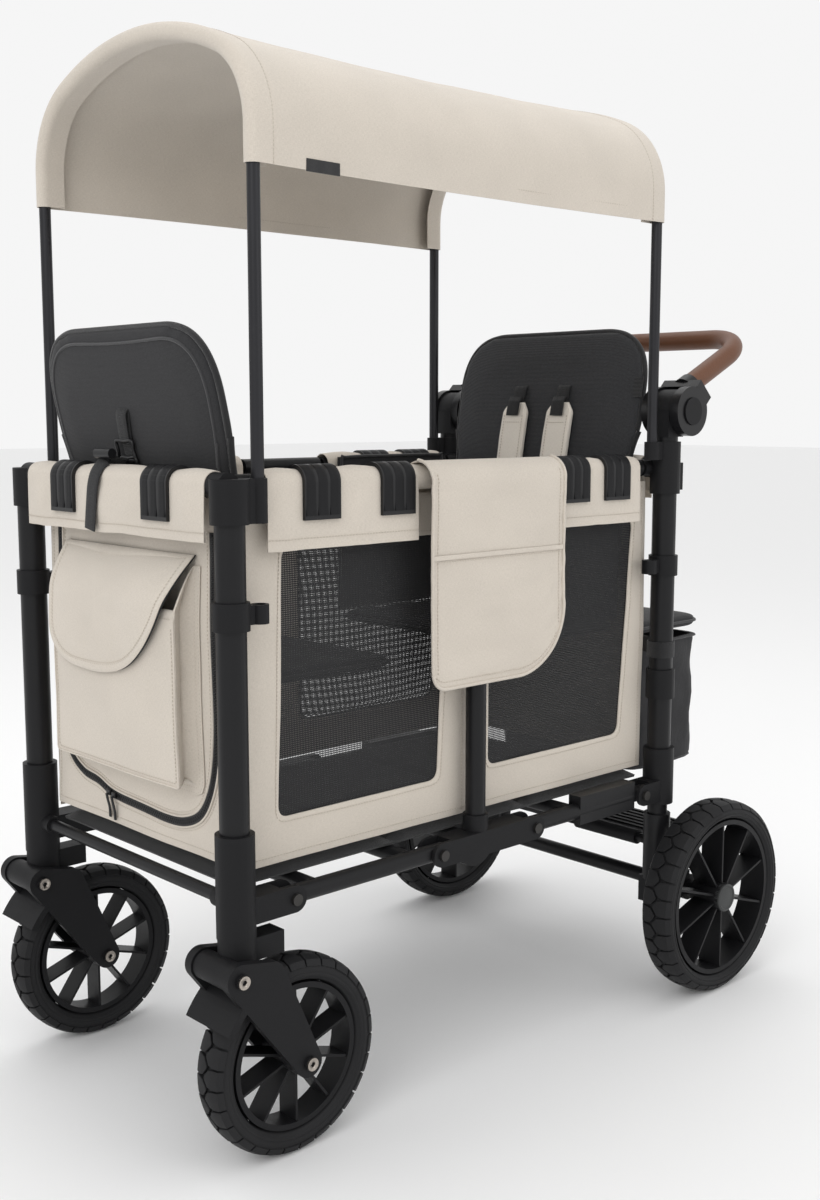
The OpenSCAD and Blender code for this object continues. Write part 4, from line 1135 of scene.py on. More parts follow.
zip_teeth = bpy.data.objects.new("zip_teeth", bpy.data.meshes.new("zip_teeth"))
bpy.context.collection.objects.link(zip_teeth)
teeth.to_mesh(zip_teeth.data)
teeth.free()
wear(zip_teeth, polished_nylon)

pulls = []
for x in (-0.062, -0.05):
    z = min((p for p in zip_flat), key=lambda p: abs(p.x - x) + (0 if p.z < 0.43 else 1)).z
    bpy.ops.mesh.primitive_cube_add(size=1, location=front_skin(x, z, 0.0042))
    slider = bpy.context.object
    slider.name = "zip_slider"
    slider.scale = (0.0085, 0.004, 0.0075)
    apply_all(slider)
    settle(slider)
    soften = slider.modifiers.new("soften", "BEVEL")
    soften.width, soften.segments = 0.0012, 3
    apply_all(slider)
    wear(slider, polished_nylon)
    hang = smooth_path([front_skin(x, z - 0.001, 0.0078), front_skin(x + 0.001, z - 0.008, 0.0074),
                        front_skin(x, z - 0.02, 0.0042), front_skin(x - 0.001, z - 0.033, 0.003)], 0.0015)
    pull = sweep("zip_pull", hang, strap_section(0.0048, 0.0024), front_out, webbing)
    pulls += [slider, pull]
zip_pulls = gather("zip_pulls", pulls)

# ---- Bellows pocket --------------------------------------------------------
# A canvas pocket box sewn to the front wall by a flange with two rows of
# stitches. Its gusset is creased inwards and narrows to nothing at the top.
pocket_left, pocket_right, pocket_low, pocket_high = -0.141, 0.138, 0.44, 0.7
mouth_z, pocket_out = 0.648, 0.027


def pocket_depth(z):
    return pocket_out * min(1.0, max(0.0, (pocket_high - z) / (pocket_high - mouth_z))) ** 0.8


u_line = [Vector((pocket_left, 0, pocket_high - 0.26 * k / 26)) for k in range(26)]
u_line += [Vector((pocket_left, 0, pocket_low + 0.004)),
           Vector((pocket_left + 0.0012, 0, pocket_low + 0.0012))]
u_line += [Vector((pocket_left + 0.004 + (pocket_right - pocket_left - 0.008) * k / 24, 0, pocket_low))
           for k in range(25)]
u_line += [Vector((pocket_right - 0.0012, 0, pocket_low + 0.0012)),
           Vector((pocket_right, 0, pocket_low + 0.004))]
u_line += [Vector((pocket_right, 0, pocket_low + 0.26 * (k + 1) / 26)) for k in range(26)]
gusset = []
for p, wide in zip(u_line, beside(u_line, -1.0)):
    away = (wide - p).normalized()
    deep = pocket_depth(p.z)
    row = []
    for share, spread in ((0, 0.0135), (0, 0.009), (0, 0.0045), (0.004, 0.0016), (0.06, -0.0006),
                          (0.2, -0.0035),
                          (0.38, -0.0072), (0.5, -0.0088), (0.6, -0.0072), (0.74, -0.0035), (0.88, -0.0008),
                          (0.97, 0.0004), (1.0, -0.0008)):
        crumple = ripple(p.x * 3, share * 2, p.z * 3, 0.1, 0.002) * math.sin(math.pi * share)
        spot = p + away * (spread * (1 if share == 0 else min(1, deep / 0.02)) + crumple)
        base = front_skin(spot.x, spot.z, 0.001)
        row.append(base + Vector((0, -deep * share, 0)))
    gusset.append(row)
pocket_gusset = thicken(loft("pocket_gusset", gusset), 0.001)


def pocket_face(x, z, lift=0.0):
    """A point on the pocket's slack front."""
    share_x = (x - pocket_left) / (pocket_right - pocket_left)
    share_z = (z - pocket_low) / (mouth_z - pocket_low)
    slack = math.sin(math.pi * min(1, max(0, share_x))) * (0.25 + 0.75 * min(1, max(0, share_z)))
    belly = 0.0028 * slack * math.sin(math.pi * min(1, max(0, share_z * 0.8)))
    hang = belly - 0.003 * slack * max(0, share_z) ** 3
    crease = ripple(x, z, 9, 0.09, 0.0016) * slack
    return front_skin(x, z, 0.001) + Vector((0, -pocket_depth(z) - hang - lift - crease, 0))



face = []
for k in range(41):
    z = pocket_low + 0.0006 + (mouth_z - pocket_low) * k / 40
    face.append([pocket_face(pocket_left + 0.0006 + (pocket_right - pocket_left - 0.0012) * n / 48, z)
                 for n in range(49)])
for drop, back in ((0.0, 0.0018), (0.006, 0.003), (0.016, 0.003)):
    face.append([p + Vector((0, back, -drop + 0.0015)) for p in face[40]])
pocket_front = thicken(loft("pocket_front", face), 0.001)
pocket_cloth = gather("pocket_cloth", [pocket_gusset, pocket_front])
wear(pocket_cloth, canvas)

edge_path = [pocket_face(p.x, p.z, 0.0004) for p in u_line if p.z <= mouth_z]
pocket_seam = sweep("pocket_seam", smooth_path(edge_path, 0.004), cord_section(0.0013), front_out, canvas)
flange_rows = []
for gap in (0.0042, 0.0105):
    around = [p for p in beside(u_line, -gap)]
    flange_rows.append(stitches("flange_stitch", [front_skin(p.x, p.z, 0.0018) for p in around], front_out))
mouth = [pocket_face(pocket_left + 0.006 + (pocket_right - pocket_left - 0.012) * n / 40, mouth_z - 0.009,
                     0.0006)
         for n in range(41)]
flange_rows.append(stitches("mouth_stitch", mouth, front_out))
inner_line = [pocket_face(p.x * 0.965, p.z + (0.005 if p.z < 0.46 else 0), 0.0006) for p in u_line
              if p.z <= mouth_z - 0.012]
flange_rows.append(stitches("face_stitch", inner_line, front_out))
hem_line = [front_skin(-wall_x + 0.006 + (2 * wall_x - 0.012) * k / 60, wall_low + 0.009, 0.0005)
            for k in range(61)]
flange_rows.append(stitches("wall_hem", hem_line, front_out))
for x in (-wall_x + 0.007, wall_x - 0.007):
    edge = [front_skin(x, wall_low + 0.008 + 0.37 * k / 40, 0.0005) for k in range(41)]
    flange_rows.append(stitches("wall_edge", edge, front_out))
front_threads = gather("front_stitches", flange_rows + zip_threads)

for piece, slot in ((front_canvas, "canvas"), (zip_fold, "canvas"), (tape, "black_cloth"),
                    (zip_teeth, "black_cloth"),
                    (zip_pulls, "black_cloth"), (pocket_cloth, "canvas"), (pocket_seam, "canvas"),
                    (front_threads, "canvas")):
    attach(piece, "front_frame")
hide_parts("front_panel")
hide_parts("front_panel")

# ---- Pocket flap -----------------------------------------------------------
# A lined canvas flap with a bound edge and two stitch rows, sewn to the wall
# above the pocket. Its black lining is the flap's own underside and also stands
# in as painted shade between the flap and the pocket. One side hangs straight
# and the other is cut in a sweep.
flap_top = 0.7125
flap_edge = [(-0.146, 0.0), (-0.1465, 0.035), (-0.1465, 0.07), (-0.146, 0.098), (-0.142, 0.117),
             (-0.13, 0.133), (-0.105, 0.146), (-0.07, 0.1515), (-0.02, 0.1525), (0.018, 0.148),
             (0.048, 0.138), (0.072, 0.123), (0.094, 0.102), (0.113, 0.078), (0.127, 0.056), (0.136, 0.035),
             (0.1415, 0.012), (0.143, 0.0)]
side_line = smooth_path([(x, 0, -d) for x, d in flap_edge], 0.0045)
top_line = [Vector((0.143 - 0.289 * n / 64, 0, 0)) for n in range(1, 64)]
outline = side_line + top_line
heart = Vector((-0.025, 0, -0.062))


def flap_skin(p, lift):
    """A point of the flap: off the wall at the top, out over the gusset, then down over the pocket."""
    drop = -p.z
    z = flap_top + p.z
    if drop < 0.066:
        out = 0.002 + (pocket_out + 0.0012) * math.sin(math.pi / 2 * drop / 0.066)
    else:
        out = pocket_out + 0.0032 + 0.0035 * ((drop - 0.066) / 0.095) ** 2
    curl = 0.006 * max(0, (p.x - 0.02) / 0.12) * min(1, drop / 0.05)
    base = front_skin(p.x, max(z, wall_low), 0.001)
    return Vector((base.x, base.y - out - lift - curl - ripple(p.x, drop, 5, 0.08, 0.0018), z))


def flap_rings(lift, swell):
    rings = []
    for inset in (0.0, 0.0011, 0.0035, 0.0085, 0.0105, 0.0125):
        height = {0.0: 0.0, 0.0011: 0.0007, 0.0035: 0.0011, 0.0085: 0.0011, 0.0105: 0.0003,
                  0.0125: 0.0006}[inset]
        rings.append([flap_skin(p + (heart - p).normalized() * inset, lift + height * swell)
                      for p in outline])
    for k in range(1, 15):
        share = k / 15
        rings.append([flap_skin((p + (heart - p).normalized() * 0.0125).lerp(heart, share),
                                lift + swell * 0.0006 + 0.0012 * math.sin(math.pi * share) * swell)
                      for p in outline])
    rings.append([flap_skin(heart, lift + 0.0006 * swell)] * len(outline))
    return rings


def flap_layer(name, lift, swell, thickness, material):
    piece = loft(name, flap_rings(lift, swell), ring=True)
    shell = bmesh.new()
    shell.from_mesh(piece.data)
    bmesh.ops.remove_doubles(shell, verts=shell.verts, dist=1e-6)
    bmesh.ops.dissolve_degenerate(shell, edges=shell.edges, dist=1e-6)
    shell.to_mesh(piece.data)
    shell.free()
    thicken(piece, thickness, 0.0)
    wear(piece, material)
    return piece


flap_cloth = flap_layer("pocket_flap_cloth", 0.0012, 1.0, 0.0012, canvas)
# Black lining: the flap's underside, and also painted shade under its edge
flap_black_lining_and_shade = flap_layer("pocket_flap_black_lining_and_shade", -0.0014, 0.0, 0.0009, black_tape)
flap_rows = []
for inset in (0.0092, 0.0118):
    flap_rows.append(stitches("flap_stitch", [flap_skin(p + (heart - p).normalized() * inset, 0.0026)
                                              for p in side_line], front_out))
for drop in (0.0035, 0.0095):
    flap_rows.append(stitches("flap_top_stitch",
                              [flap_skin(Vector((-0.14 + 0.277 * n / 50, 0, -drop)), 0.0022)
                                                  for n in range(51)], front_out))
flap_threads = gather("pocket_flap_stitches", flap_rows)
for piece, slot in ((flap_cloth, "canvas"), (flap_black_lining_and_shade, "black_cloth"), (flap_threads, "canvas")):
    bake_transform(piece)
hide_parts("pocket_flap")

# ---- Front sleeve and valance ----------------------------------------------
# The wall's top edge wraps the cross rail under two seat clips and hangs down
# outside as a plain valance, and the recline strap passes over it.
rear_rail_low, rear_rail_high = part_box("rear_top_rail")
rail_y = (rear_rail_low.y + rear_rail_high.y) / 2 - MIDDLE
wall_sleeve, line = sleeve("front_wall_sleeve", -0.2, 0.2, 0.7315, head_clip_x,
                           lambda out, along, up: at(along, -(rail_y + out), rail_z + up))
wall_thread = stitches("front_wall_sleeve_stitches", line, front_out)
for piece in (wall_sleeve, wall_thread):
    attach(piece, "front_frame")
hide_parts("front_panel")


# ---- Rear wall -------------------------------------------------------------
# A plain canvas wall like the front one, with its own sleeve round the cross
# rail behind the rear seat.
def rear_skin(x, z, lift=0.0):
    """A point on the outside of the rear canvas."""
    full = 0.005 * math.cos(math.pi / 2 * min(1, abs(x) / wall_x))
    full *= math.sin(math.pi * (z - wall_low) / 0.44)
    return at(x, WALL_OUT + lift + full + ripple(x, z, 7.3, 0.12, 0.0022), z)


rows = []
for k in range(51):
    z = wall_low + (0.79 - wall_low) * k / 50
    rows.append([rear_skin(wall_x - 2 * wall_x * n / 48, z) for n in range(49)])
rear_canvas = thicken(loft("rear_canvas", rows), 0.0012)
wear(rear_canvas, canvas)
rear_sleeve, line = sleeve("rear_wall_sleeve", -0.189, 0.189, 0.748, [],
                           lambda out, along, up: at(-along, rail_y + out, rail_z + up))
rear_thread = stitches("rear_wall_sleeve_stitches", line, (0, 1, 0))
for piece in (rear_canvas, rear_sleeve, rear_thread):
    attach(piece, "rear_frame")
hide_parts("rear_panel")

# ---- Side flap -------------------------------------------------------------
# A plain canvas flap over the middle post: hooked over the rail at the top,
# with a small corner at the front, a large one at the rear, a rolled border,
# one raised seam and a row of stitches.
flap_front, flap_rear, flap_low = -0.099, 0.147, 0.529
FLAP_OUT, FLAP_IN, FLAP_TOP = 0.2435, 0.188, 0.7885


def flap_foot(y):
    """How high the flap's lower edge is, with its two rounded corners."""
    for gap, radius in ((y - flap_front, 0.022), (flap_rear - y, 0.09)):
        if gap < radius:
            return flap_low + radius - math.sqrt(max(0.0, radius ** 2 - (radius - gap) ** 2))
    return flap_low


def over_rail(y, run, lift=0.0):
    """A point along the flap's way up outside, over the rail and down inside; run is 0 to 3."""
    crease = ripple(y, run, 4.7, 0.1, 0.0016)
    if run <= 1:
        foot = flap_foot(y)
        z = foot + (FLAP_TOP - foot) * run
        return at(FLAP_OUT + lift + crease - 0.0015 * math.sin(math.pi * run), y, z)
    if run <= 2:
        turn = math.pi * (run - 1)
        middle, radius = (FLAP_OUT + FLAP_IN) / 2, (FLAP_OUT - FLAP_IN) / 2 + lift
        return at(middle + radius * math.cos(turn) + crease * (2 - run), y,
                  FLAP_TOP + radius * math.sin(turn))
    return at(FLAP_IN - lift, y, FLAP_TOP - 0.02 * (run - 2))


runs = [k / 36 for k in range(36)] + [1 + k / 14 for k in range(14)] + [2, 2.35, 2.7, 3]
spread = [flap_front + 0.022 * (k / 8) ** 2 for k in range(8)]
spread += [flap_front + 0.022 + (flap_rear - 0.09 - flap_front - 0.022) * k / 24 for k in range(24)]
spread += [flap_rear - 0.09 * (1 - (k / 20)) ** 1.6 for k in range(21)]
side_cloth = thicken(loft("side_flap_cloth", [[over_rail(y, run) for y in spread] for run in runs]), 0.0016)
border = [over_rail(flap_front + 0.0002, 1.5 - k / 20 * 1.5, 0.0004) for k in range(20)]
border += [over_rail(y, 0, 0.0004) for y in spread]
border += [over_rail(flap_rear - 0.0002, k / 20 * 1.5, 0.0004) for k in range(1, 21)]
border = sweep("side_flap_border", smooth_path(border, 0.004), cord_section(0.0023), (1, 0, 0), canvas)
inset, lines = 0.0092, []
for line in ([over_rail(flap_front + inset, 0.06 + 1.1 * k / 50, 0.0006) for k in range(51)],
             [over_rail(flap_rear - inset, 0.06 + 1.1 * k / 50, 0.0006) for k in range(51)],
             [at(FLAP_OUT + 0.0008, y, flap_foot(y) + inset) for y in spread[4:-6]],
             [at(FLAP_OUT + 0.0008, flap_front + 0.008 + 0.229 * k / 40, 0.6905) for k in range(41)]):
    lines.append(stitches("side_flap_stitch", line, (1, 0, 0)))
ridge = sweep("side_flap_seam",
              [at(FLAP_OUT + 0.0001, flap_front + 0.002 + 0.241 * k / 40, 0.6955) for k in range(41)],
              strap_section(0.006, 0.001), (1, 0, 0), canvas)
side_threads = gather("side_flap_stitches", lines)
wear(side_cloth, canvas)
for piece in (side_cloth, border, ridge, side_threads):
    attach(piece, "mid_frame")
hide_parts("side_flap")

# ---- Seat cushions ---------------------------------------------------------
# Stuffed black cushions. Each starts as a slack closed shape with its seams
# held, is filled by pressure, and keeps the creases that the pull leaves.
felt = woven("black_felt", (0.016, 0.016, 0.0175), (0.032, 0.032, 0.034), thread=240, by="Object",
             relief=0.3, heather=0.8, sheen=0.12)
heather_cloth = woven("charcoal_heather", (0.042, 0.043, 0.046), (0.02, 0.02, 0.022), thread=260,
                      by="Object", relief=0.45, heather=0.9, sheen=0.15)
# A copy of the ecru canvas painted lighter for the shoulder pads: painted light that makes up for the shade
# the canopy casts on them.
painted_light_pad_canvas = woven("painted_light_pad_canvas", (0.86, 0.8, 0.715), (0.68, 0.62, 0.54), thread=420)
piping_cloth = woven("piping", (0.035, 0.035, 0.037), (0.05, 0.05, 0.052), thread=300, by="Object",
                     relief=0.3)


def round_outline(corners, step=0.008):
    """A closed (u, v) outline from corners of (u, v, radius)."""
    outline, count = [], len(corners)
    for k in range(count):
        before, here, after = (Vector(corners[(k + n) % count][:2]) for n in (-1, 0, 1))
        radius = corners[k][2]
        start = here + (before - here).normalized() * radius
        end = here + (after - here).normalized() * radius
        steps = max(2, round(radius / step * 1.6))
        outline += [start * (1 - t) ** 2 + here * 2 * t * (1 - t) + end * t ** 2
                    for t in [n / steps for n in range(steps + 1)]]
        leave = after + (here - after).normalized() * corners[(k + 1) % count][2]
        straight = int((leave - end).length / 0.02)
        outline += [end.lerp(leave, n / straight) for n in range(1, straight)]
    return outline


def near_line(point, outline):
    """The distance of a (u, v) point from a closed outline."""
    best = 1.0
    for a, b in zip(outline, outline[1:] + outline[:1]):
        run = b - a
        share = min(1, max(0, (point - a).dot(run) / max(run.length_squared, 1e-12)))
        best = min(best, (point - a - run * share).length)
    return best


def stuffed(name, outline, thick, place, seams=(), swell=0.006, voxel=0.006, pressure=4.0):
    """A pad from its outline in (u, v) and its thickness along w, with sewn channels at the seams' v.

    Place turns (u, w, v) into the wagon.
    """
    count = len(outline)
    points = [(p.x, w, p.y) for w in (-thick / 2, thick / 2) for p in outline]
    faces = [list(range(count))[::-1], list(range(count, 2 * count))]
    faces += [(k, (k + 1) % count, count + (k + 1) % count, count + k) for k in range(count)]
    mesh = bpy.data.meshes.new(name)
    mesh.from_pydata(points, [], faces)
    piece = bpy.data.objects.new(name, mesh)
    bpy.context.collection.objects.link(piece)
    shell = bmesh.new()
    shell.from_mesh(mesh)
    bmesh.ops.recalc_face_normals(shell, faces=shell.faces)
    shell.to_mesh(mesh)
    shell.free()
    cut = piece.modifiers.new("even", "REMESH")
    cut.mode, cut.voxel_size = "VOXEL", voxel
    apply_all(piece)
    start = [v.co.copy() for v in piece.data.vertices]
    held = piece.vertex_groups.new(name="seam")
    for vertex in piece.data.vertices:
        flat = Vector((vertex.co.x, vertex.co.z))
        edge = near_line(flat, outline)
        line = min([abs(flat.y - v) for v in seams] + [1.0])
        weight = max(1.0 - edge / 0.007, 1.0 - line / 0.004, 0.0)
        if weight > 0.05:
            held.add([vertex.index], min(1.0, weight), "REPLACE")
    fill = piece.modifiers.new("fill", "CLOTH")
    cloth = fill.settings
    cloth.quality, cloth.mass = 4, 0.3
    cloth.tension_stiffness = cloth.compression_stiffness = 12
    cloth.bending_stiffness = 0.6
    cloth.use_pressure, cloth.uniform_pressure_force = True, pressure
    cloth.effector_weights.gravity = 0
    cloth.vertex_group_mass = "seam"
    fill.collision_settings.use_collision = False
    scene = bpy.context.scene
    for frame in range(1, 21):
        scene.frame_set(frame)
    shape = piece.evaluated_get(bpy.context.evaluated_depsgraph_get())
    moved = [v.co.copy() for v in shape.data.vertices]
    piece.modifiers.remove(fill)
    scene.frame_set(1)
    for vertex, old, new in zip(piece.data.vertices, start, moved):
        shift = new - old
        if shift.length > swell:
            shift *= swell / shift.length
        vertex.co = old + shift
    for vertex in piece.data.vertices:
        flat = Vector((vertex.co.x, vertex.co.z))
        line = min([abs(flat.y - v) for v in seams] + [1.0])
        if line < 0.006:
            vertex.co.y *= 0.82 + 0.18 * line / 0.006
    piece.vertex_groups.clear()
    smooth = piece.modifiers.new("smooth", "CORRECTIVE_SMOOTH")
    smooth.iterations, smooth.use_only_smooth = 3, True
    finer = piece.modifiers.new("finer", "SUBSURF")
    finer.levels = finer.render_levels = 1
    apply_all(piece)
    piece.data.transform(place)
    deselect()
    piece.select_set(True)
    bpy.context.view_layer.objects.active = piece
    bpy.ops.object.shade_smooth()
    piece.select_set(False)
    return piece


def edge_piping(name, outline, place, radius, material, lift=0.0, inward=0.0):
    """A sewn cord round a pad's edge, or round its face at a distance inside."""
    heart = sum(outline, Vector((0, 0))) / len(outline)
    line = [place @ Vector((p.x, lift, p.y))
            for p in [q + (heart - q).normalized() * inward for q in outline]]
    path = smooth_path(line, 0.005, closed=True)
    return sweep(name, path, cord_section(radius), place.to_3x3() @ Vector((0, -1, 0)), material,
                 closed=True)


# Turns a pad drawn upright so that it lies flat
LYING = Matrix(((1, 0, 0, 0), (0, 0, 1, 0), (0, -1, 0, 0), (0, 0, 0, 1)))
CUSHION_MIDDLE = 0.5608


def cushion(name, y0, y1, body, node):
    flat = Matrix.Translation(at(0, 0, CUSHION_MIDDLE)) @ LYING
    outline = round_outline([(-0.179, y0, 0.018), (0.179, y0, 0.018), (0.179, y1, 0.018),
                             (-0.179, y1, 0.018)])
    third = (y1 - y0) / 3
    pad = stuffed(name, outline, 0.018, flat, seams=(y0 + third, y0 + 2 * third), swell=0.0052)
    wear(pad, felt)
    cord = edge_piping(f"{name}_piping", outline, flat, 0.0024, piping_cloth)
    for piece in (pad, cord):
        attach(piece, body)
        squash_fold(piece)
    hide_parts(node)
    return pad, cord


cushion("rear_seat_cushion", 0.108, 0.336, "rear_frame", "rear_seat")
cushion("front_seat_cushion", -0.314, -0.108, "front_frame", "front_seat")

# The rear seat's soft side wings stand between the cushion and the netting
for side, hand in ((-1, "left"), (1, "right")):
    rows = []
    for k in range(31):
        z = 0.572 + 0.235 * k / 30
        rows.append([at(side * (0.1836 - 0.0012 * math.sin(math.pi * k / 30) * math.sin(math.pi * n / 28)
                                + ripple(n, k, side, 9.0, 0.0003)), 0.108 + 0.226 * n / 28, z)
                     for n in range(29)])
    wing = thicken(loft(f"{hand}_seat_wing", rows), 0.0024, 1.0 if side > 0 else -1.0)
    wear(wing, felt)
    ring = [at(side * 0.182, y, z)
            for y, z in ((0.109, 0.575), (0.109, 0.69), (0.113, 0.798), (0.125, 0.8068), (0.22, 0.8075),
                         (0.316, 0.8068), (0.329, 0.798), (0.333, 0.69), (0.333, 0.575))]
    cord = sweep(f"{hand}_wing_piping", smooth_path(ring, 0.005), cord_section(0.0022), (side, 0, 0),
                 piping_cloth)
    for piece in (wing, cord):
        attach(piece, "rear_frame")
        squash_fold(piece)

# ---- Seat backs ------------------------------------------------------------
# Stuffed seat backs with rounded tops: black felt behind, charcoal heather in
# front, an edge binding and a second line of piping on the outside face.
def back_place(pivot, lean):
    """Turns (u, w, v) into the wagon; the lean is away from upright towards +y."""
    tilt = math.radians(lean)
    turn = Matrix(((1, 0, 0), (0, math.cos(tilt), math.sin(tilt)), (0, -math.sin(tilt), math.cos(tilt))))
    return Matrix.Translation(at(*pivot)) @ turn.to_4x4()


def back_outline(wide, top, radius):
    return round_outline([(-0.178, -0.006, 0.02), (0.178, -0.006, 0.02), (0.178, 0.238, 0.03),
                          (wide, 0.262, 0.03), (wide, top, radius), (-wide, top, radius),
                          (-wide, 0.262, 0.03), (-0.178, 0.238, 0.03)])


rear_back_at = back_place((0, 0.32574, 0.5863), 10.4)
front_back_at = back_place((0, -0.3031, 0.5863), -12.4)
rear_edge, front_edge = back_outline(0.1875, 0.4175, 0.086), back_outline(0.1845, 0.3975, 0.086)
for name, edge, spot, body, node, outward in (
        ("rear_back_pad", rear_edge, rear_back_at, "rear_back", "rear_seat_back", 1),
        ("front_back_pad", front_edge, front_back_at, "front_back", "front_seat_back", -1)):
    pad = stuffed(name, edge, 0.014, spot, seams=(0.1, 0.2), swell=0.004)
    wear(pad, heather_cloth)
    wear(pad, felt)
    pad.data.materials.clear()
    pad.data.materials.append(heather_cloth)
    pad.data.materials.append(felt)
    away = spot.to_3x3() @ Vector((0, outward, 0))
    for polygon in pad.data.polygons:
        polygon.material_index = 1 if polygon.normal.dot(away) > 0.2 else 0
    binding = edge_piping(f"{name}_binding", edge, spot, 0.0042, black_tape)
    second = edge_piping(f"{name}_piping", edge, spot, 0.002, piping_cloth, lift=outward * 0.0078,
                         inward=0.016)
    for piece in (pad, binding, second):
        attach(piece, body)
    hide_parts(node)

# A blank black label is sewn into the rear back's right edge
bpy.ops.mesh.primitive_cube_add(size=1)
label = bpy.context.object
label.name = "seat_label"
label.data.transform(Matrix.Diagonal((0.016, 0.0016, 0.03, 1)))
label.data.transform(rear_back_at @ Matrix.Translation((0.184, -0.009, 0.33)))
wear(label, black_tape)
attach(label, "rear_back")

# ---- Harnesses -------------------------------------------------------------
# Five-point harnesses: canvas shoulder pads over ribbed webbing that starts
# high on each back, waist straps and a centre buckle.
def harness(name, spot, face, body, node, high):
    """Face is -1 or 1 for the side of the back the child leans on."""
    def on(u, v, lift):
        return spot @ Vector((u, face * (0.0105 + lift), v))

    out = spot.to_3x3() @ Vector((0, face, 0))
    straps, pads, lines = [], [], []
    for side in (-1, 1):
        way = [on(side * 0.045, high, -0.003), on(side * 0.045, high - 0.006, 0.004),
               on(side * 0.046, high - 0.06, 0.0075), on(side * 0.042, high - 0.17, 0.008),
               on(side * 0.018, 0.075, 0.011), on(side * 0.012, 0.05, 0.012)]
        straps.append(sweep("shoulder_strap", smooth_path(way, 0.0012), strap_section(0.025, 0.0016), out,
                            webbing, rib=0.25))
        waist = smooth_path([on(side * 0.02, 0.042, 0.012), on(side * 0.04, 0.03, 0.009),
                             on(side * 0.062, 0.02, 0.003)], 0.0012)
        straps.append(sweep("waist_strap", waist, strap_section(0.022, 0.0016), out, webbing, rib=0.25))
        middle = [p - out * 0.0016 for p in smooth_path(way, 0.004)[8:46]]
        rows, count = [], len(middle)
        for k, p in enumerate(middle):
            share = k / (count - 1)
            wide = 0.0255 * min(1, 0.62 + share * 4) * min(1, 0.8 + (1 - share) * 4)
            high_up = 0.0045 * math.sin(math.pi * min(1, max(0.02, share))) ** 0.35
            across = (spot.to_3x3() @ Vector((1, 0, 0)))
            ring = []
            for n in range(20):
                turn = math.tau * n / 20
                flat = max(-1, min(1, 1.25 * math.cos(turn)))
                ring.append(p + across * flat * wide + out * (0.0022 + high_up * math.sin(turn)
                                                              + ripple(n, k, side, 6, 0.0005)))
            rows.append(ring)
        pad = loft("shoulder_pad", rows, ring=True)
        shell = bmesh.new()
        shell.from_mesh(pad.data)
        bmesh.ops.holes_fill(shell, edges=[e for e in shell.edges if e.is_boundary])
        bmesh.ops.recalc_face_normals(shell, faces=shell.faces)
        shell.to_mesh(pad.data)
        shell.free()
        pads.append(pad)
        tongue = [p + out * (0.0055 + 0.003 * min(1, n / 6))
                  for n, p in enumerate(smooth_path(way, 0.0012)[20:46])]
        straps.append(sweep("pad_tongue", tongue, strap_section(0.025, 0.0014), out, webbing, rib=0.25))
        for edge in (-0.019, 0.019):
            lines.append(stitches("pad_stitch", [p + across * edge + out * 0.0066 for p in middle[5:-4]],
                                  out))
        lines.append(stitches("pad_stitch", [middle[8] + across * (-0.017 + 0.0034 * n) + out * 0.0068
                                             for n in range(11)], out))
    crotch = smooth_path([on(0, 0.04, 0.012), on(0, 0.015, 0.006), on(0, 0.004, 0.002)], 0.0012)
    straps.append(sweep("crotch_strap", crotch, strap_section(0.028, 0.0018), out, webbing, rib=0.25))
    cloths = gather(f"{name}_webbing", straps)
    for pad in pads:
        # The pads wear the canvas copy painted lighter, as painted light against the canopy's shade.
        wear(pad, painted_light_pad_canvas)
    padding = gather(f"{name}_pads", pads)
    deselect()
    padding.select_set(True)
    bpy.context.view_layer.objects.active = padding
    bpy.ops.object.shade_smooth()
    threads = gather(f"{name}_stitches", lines)
    bpy.ops.mesh.primitive_cube_add(size=1)
    buckle = bpy.context.object
    buckle.name = f"{name}_buckle"
    buckle.scale = (0.046, 0.012, 0.042)
    apply_all(buckle)
    settle(buckle)
    soften = buckle.modifiers.new("soften", "BEVEL")
    soften.width, soften.segments = 0.0045, 4
    apply_all(buckle)
    buckle.data.transform(spot @ Matrix.Translation((0, face * 0.023, 0.052)))
    wear(buckle, polished_nylon)
    bpy.ops.mesh.primitive_cylinder_add(radius=0.0105, depth=0.004, vertices=40)
    press = bpy.context.object
    press.name = f"{name}_release"
    press.data.transform(Matrix.Rotation(math.pi / 2, 4, "X"))
    press.data.transform(spot @ Matrix.Translation((0, face * 0.0298, 0.052)))
    wear(press, grey_nylon)
    for piece, slot in ((cloths, "black_cloth"), (padding, "pad_cloth"), (threads, "pad_cloth"),
                        (buckle, "black_nylon"), (press, "grey_nylon")):
        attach(piece, body)
    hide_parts(node)


harness("rear_harness", rear_back_at, -1, "rear_back", "rear_harness", 0.333)
harness("front_harness", front_back_at, 1, "front_back", "front_harness", 0.325)


# ---- Recline strap ---------------------------------------------------------
# A ribbed black strap behind the front back: a folded loop at its top end, a
# ladder-lock frame and a roller, then down over the rail and the valance.
def behind_back(u, v, lift):
    return front_back_at @ Vector((u, -(0.0105 + lift), v))


strap_way = [behind_back(-0.0085, 0.301, 0.0005), behind_back(-0.0115, 0.27, 0.003),
             behind_back(-0.016, 0.235, 0.003)]
strap_way += [at(-0.021, -rail_y - 0.0035, rail_z + SLEEVE_R + 0.0065),
              at(-0.0235, -rail_y - 0.0165, rail_z + 0.0115),
              at(-0.026, -rail_y - 0.0218, rail_z - 0.006), at(-0.031, -rail_y - 0.0222, rail_z - 0.034),
              at(-0.036, -rail_y - 0.0218, 0.733)]
recline = sweep("recline_webbing", smooth_path(strap_way, 0.0011), strap_section(0.0235, 0.0017), front_out,
                webbing, rib=0.3)
loop_way = [behind_back(-0.0085, 0.304, -0.002), behind_back(-0.009, 0.298, 0.005),
            behind_back(-0.0105, 0.28, 0.0062), behind_back(-0.0125, 0.262, 0.0056)]
loop = sweep("recline_loop", smooth_path(loop_way, 0.0011), strap_section(0.0225, 0.0017), front_out, webbing,
             rib=0.3)
frames = []
